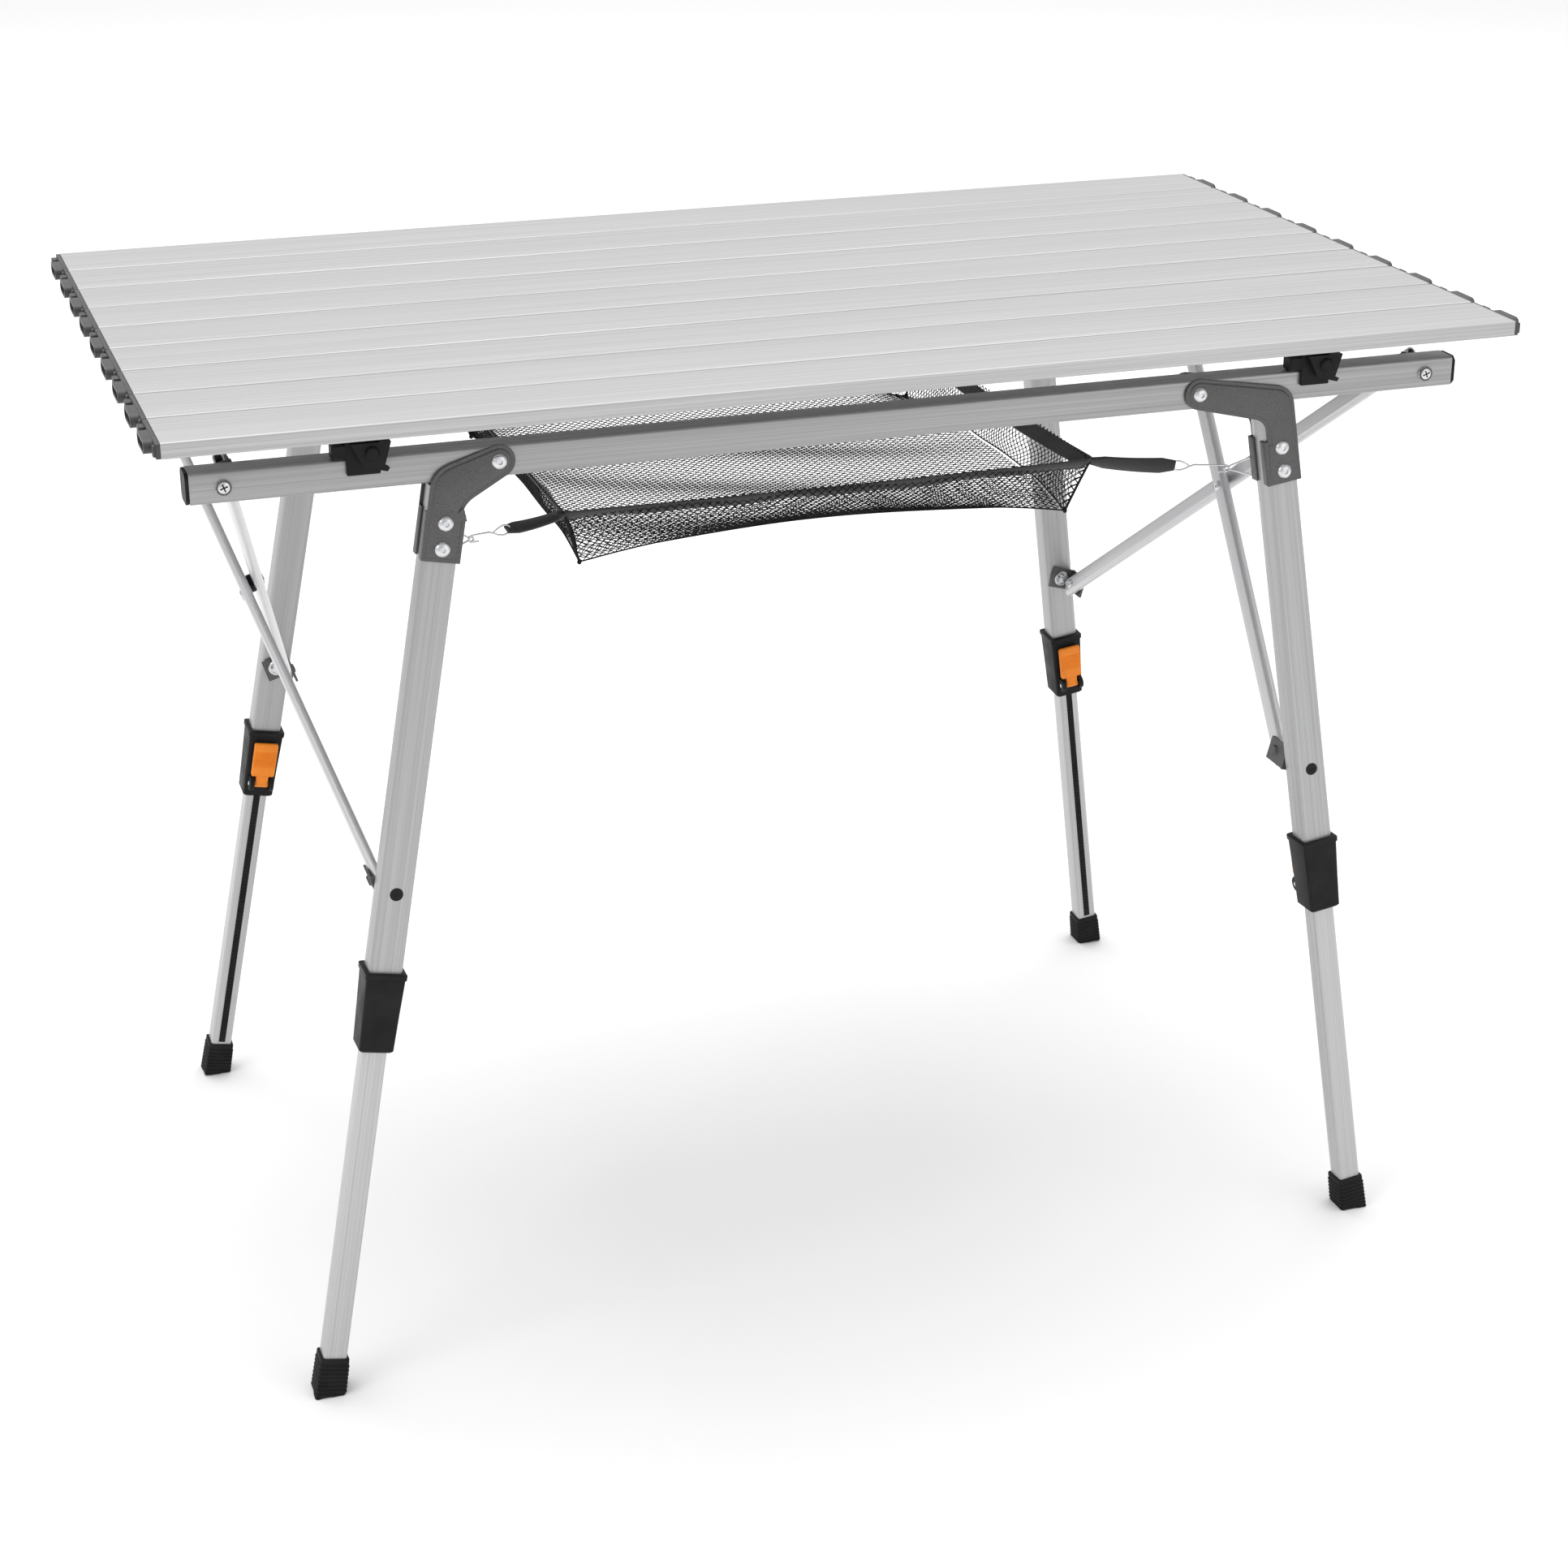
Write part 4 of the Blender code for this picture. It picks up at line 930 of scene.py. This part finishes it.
def net_runs(low, high, deep, floor):
    """Strand by strand, the points of the net's floor, or else of its walls."""
    half_x, half_y = net_half(low, high)
    reach_u, reach_v = half_x + deep, half_y + deep
    step = NET_PITCH / 2
    count = int((reach_u + reach_v) / NET_PITCH)
    columns = int(reach_u / step)
    for way in (-1, 1):
        for k in range(-count, count + 1):
            run = []
            for column in range(-columns, columns + 1):
                u = column * step
                v = way * u + k * NET_PITCH
                over = math.hypot(max(0.0, abs(u) - half_x), max(0.0, abs(v) - half_y))
                if over <= deep and (over == 0) == floor:
                    run.append(net_point(u, v, low, high, deep))
                    continue
                if len(run) > 1:
                    yield run
                run = []
            if len(run) > 1:
                yield run


def make_net():
    """Knotted net of crossing strands, in a hem of flat webbing, with a bound bottom edge."""
    low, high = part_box("storage_net")
    deep = high.z - low.z - NET_CLEAR
    pieces = []
    for name, floor in (("net_floor", True), ("net_walls", False)):
        work = bmesh.new()
        for run in net_runs(low, high, deep, floor):
            join_strand(work, run)
        pieces.append((add(name, work, CORD, None, 60), "net_fabric"))
    half_x, half_y = net_half(low, high)
    work = bmesh.new()
    for side_u in (-1, 1):
        for side_v in (-1, 1):
            climb = [deep * SEAM_REACH * (k / 12) for k in range(13)]
            seam = [net_point(side_u * (half_x + c), side_v * (half_y + c), low, high, deep)
                    for c in climb]
            join_wire(work, seam, 0.0009, 6)
            join_turned(work, ((0, -0.0020), (0.0012, -0.0014), (0.0017, 0.0), (0.0010, 0.0014),
                               (0, 0.0018)), Matrix.Translation(seam[0]), 8)
    rim = [(half_x, v) for v in (-half_y, half_y)] + [(-half_x, v) for v in (half_y, -half_y)]
    edge = []
    for i, (u, v) in enumerate(rim):
        nu, nv = rim[(i + 1) % 4]
        edge += [net_point(u + (nu - u) * k / 60, v + (nv - v) * k / 60, low, high, deep)
                 for k in range(60)]
    join_wire(work, edge, 0.00055, 5, closed=True)
    pieces.append((add("net_seams", work, CORD, None, 60), "net_fabric"))
    work = bmesh.new()
    hem = net_hem(low, high)
    rings = []
    for i, point in enumerate(hem):
        ahead = hem[(i + 1) % len(hem)] - hem[i - 1]
        away = Vector((ahead.y, -ahead.x, 0)).normalized()
        roll = 0.78 + 0.10 * math.sin(i * 0.11) * math.sin(i * 0.037)
        flat = away * math.cos(roll) + Vector((0, 0, math.sin(roll)))
        thin = away * -math.sin(roll) + Vector((0, 0, math.cos(roll)))
        rib = 0.00012 * (i % 2)
        rings.append([point - flat * a + thin * (b + math.copysign(rib, b)) for a, b in
                      ((0.0, 0.0002), (0.0008, 0.0008), (0.0100, 0.0008), (0.0108, 0.0002),
                       (0.0108, -0.0002), (0.0100, -0.0008), (0.0008, -0.0008), (0.0, -0.0002))])
    join_rings(work, rings + [rings[0]], caps=False)
    bmesh.ops.remove_doubles(work, verts=work.verts, dist=0.00001)
    pieces.append((add("net_hem", work, WEB, None, 50), "net_fabric"))
    for obj, slot in pieces:
        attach(obj, "front_rail")
        if obj.name == "net_walls":
            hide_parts("storage_net")
        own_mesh(obj)


def join_strand(work, run):
    """One knotted strand as a thin three-sided cord."""
    previous = None
    side = None
    for i, point in enumerate(run):
        ahead = run[min(i + 1, len(run) - 1)]
        behind = run[max(i - 1, 0)]
        heading = ahead - behind
        if heading.length < 1e-7:
            continue
        heading.normalize()
        side = heading.orthogonal().normalized() if side is None else side
        side = (side - heading * side.dot(heading))
        side = side.normalized() if side.length > 1e-6 else heading.orthogonal().normalized()
        other = heading.cross(side)
        size = STRAND_RADIUS * (1.45 if i % 2 == 0 else 0.90)
        ring = [work.verts.new(point + size * (math.cos(THIRD_OF_TURN * k) * side
                                               + math.sin(THIRD_OF_TURN * k) * other))
                for k in range(3)]
        if previous:
            for k in range(3):
                m = (k + 1) % 3
                work.faces.new((previous[k], previous[m], ring[m], ring[k]))
        else:
            work.faces.new(list(reversed(ring)))
        previous = ring
    if previous:
        work.faces.new(previous)


def net_hem(low, high):
    """The hem's outer edge round the tray, bowed in a little along each side."""
    points = []
    half_x, half_y = (high.x - low.x) / 2, (high.y - low.y) / 2
    loop = rounded(half_x, half_y, 0.0070, 5)
    for i, (u, v) in enumerate(loop):
        nu, nv = loop[(i + 1) % len(loop)]
        long_run = math.hypot(nu - u, nv - v) > 0.05
        steps = 240 if long_run else 4
        for s in range(steps):
            t = s / steps
            x, y = u + (nu - u) * t, v + (nv - v) * t
            bow = math.sin(math.pi * t) if long_run else 0.0
            if abs(nu - u) > abs(nv - v):
                y *= 1 - 0.020 * bow
            else:
                x *= 1 - 0.016 * bow
            points.append(Vector((x, y, high.z - 0.0020 - 0.0022 * bow)))
    return points


def make_strap(face, side, apex, corner):
    """Webbing loop from the net's corner to a wire hook that hangs on the bracket's ring."""
    name = "{}_{}".format(face, side)
    start = Vector(corner)
    end = apex.lerp(start, HOOK_SHARE)
    way = end - start
    line = way.normalized()
    level = line.cross(Vector((0, 0, 1))).normalized()
    upright = level.cross(line)
    work = bmesh.new()
    rings = []
    count = 72
    for i in range(count + 1):
        t = i / count
        centre = start + way * t + Vector((0, 0, -0.0012 * math.sin(math.pi * t)))
        turn = STRAP_TURN[side] + 0.5 * (1 - t)
        swell = min(1.0, 0.30 + 3.2 * t, 0.62 + 2.4 * (1 - t))
        half = STRAP_HALF[side] * swell
        axis = upright * math.cos(turn) + level * math.sin(turn)
        thin = axis.cross(line).normalized()
        rib = 0.0011 + 0.00018 * (i % 2)
        rings.append([centre + axis * a * half + thin * b * rib for a, b in
                      ((1.0, 0.35), (0.85, 1.0), (-0.85, 1.0), (-1.0, 0.35), (-1.0, -0.35),
                       (-0.85, -1.0), (0.85, -1.0), (1.0, -0.35))])
    join_rings(work, rings)
    strap = add("net_strap_" + name, work, WEB, None, 50)
    reach = (apex - end).length
    bend = ((0.0100, -0.0002), (0.0068, -0.0020), (0.0030, -0.0033), (0.0, -0.0030),
            (-0.0022, -0.0016), (-0.0024, 0.0), (-0.0022, 0.0016), (0.0, 0.0030),
            (0.0030, 0.0033), (0.0068, 0.0020), (0.0100, 0.0002), (0.0130, -0.0012),
            (reach - 0.0030, -0.0022), (reach + 0.0002, -0.0022), (reach + 0.0020, -0.0008),
            (reach + 0.0020, 0.0010), (reach + 0.0004, 0.0022), (reach - 0.0030, 0.0024),
            (reach - 0.0055, 0.0028))
    work = bmesh.new()
    join_wire(work, [end + line * along - upright * off for along, off in bend], 0.00060)
    hook = add("net_hook_" + name, work, ZINC, None, 60)
    for obj in (strap, hook):
        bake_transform(obj)


# ---- carried-over CAD pieces --------------------------------------------------------------
def paint(node, material):
    """Gives a CAD piece a material and smooth shading."""
    obj = NODES[node]
    obj.data.materials.clear()
    obj.data.materials.append(material)
    obj.data.shade_smooth()
    obj.data.set_sharp_from_angle(angle=math.radians(28))


def paint_cad():
    """The pieces that are shown as they are in the CAD: caps, clips and swivel brackets."""
    for name in NODES:
        if name.startswith(("rail_cap", "clip_base", "clip_latch")):
            paint(name, BLACK)
        elif name.startswith(("rail_swivel", "leg_swivel")):
            paint(name, HAMMER)


make_stage()
for slat in range(SLATS):
    make_slat(slat)
net_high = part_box("storage_net")[1]
for face_name in FACES:
    make_rail(face_name)
    for side_name in SIDES:
        leg_matrix = leg_frame(face_name, side_name)
        ring = make_bracket(face_name, side_name, leg_matrix)
        make_leg(face_name, side_name, leg_matrix)
        make_strut(face_name, side_name)
        tie = Vector((SIGN[side_name] * (net_high.x - TIE_INSET),
                      SIGN[face_name] * (net_high.y - TIE_INSET), net_high.z - TIE_DROP))
        make_strap(face_name, side_name, ring, tie)
make_net()
paint_cad()
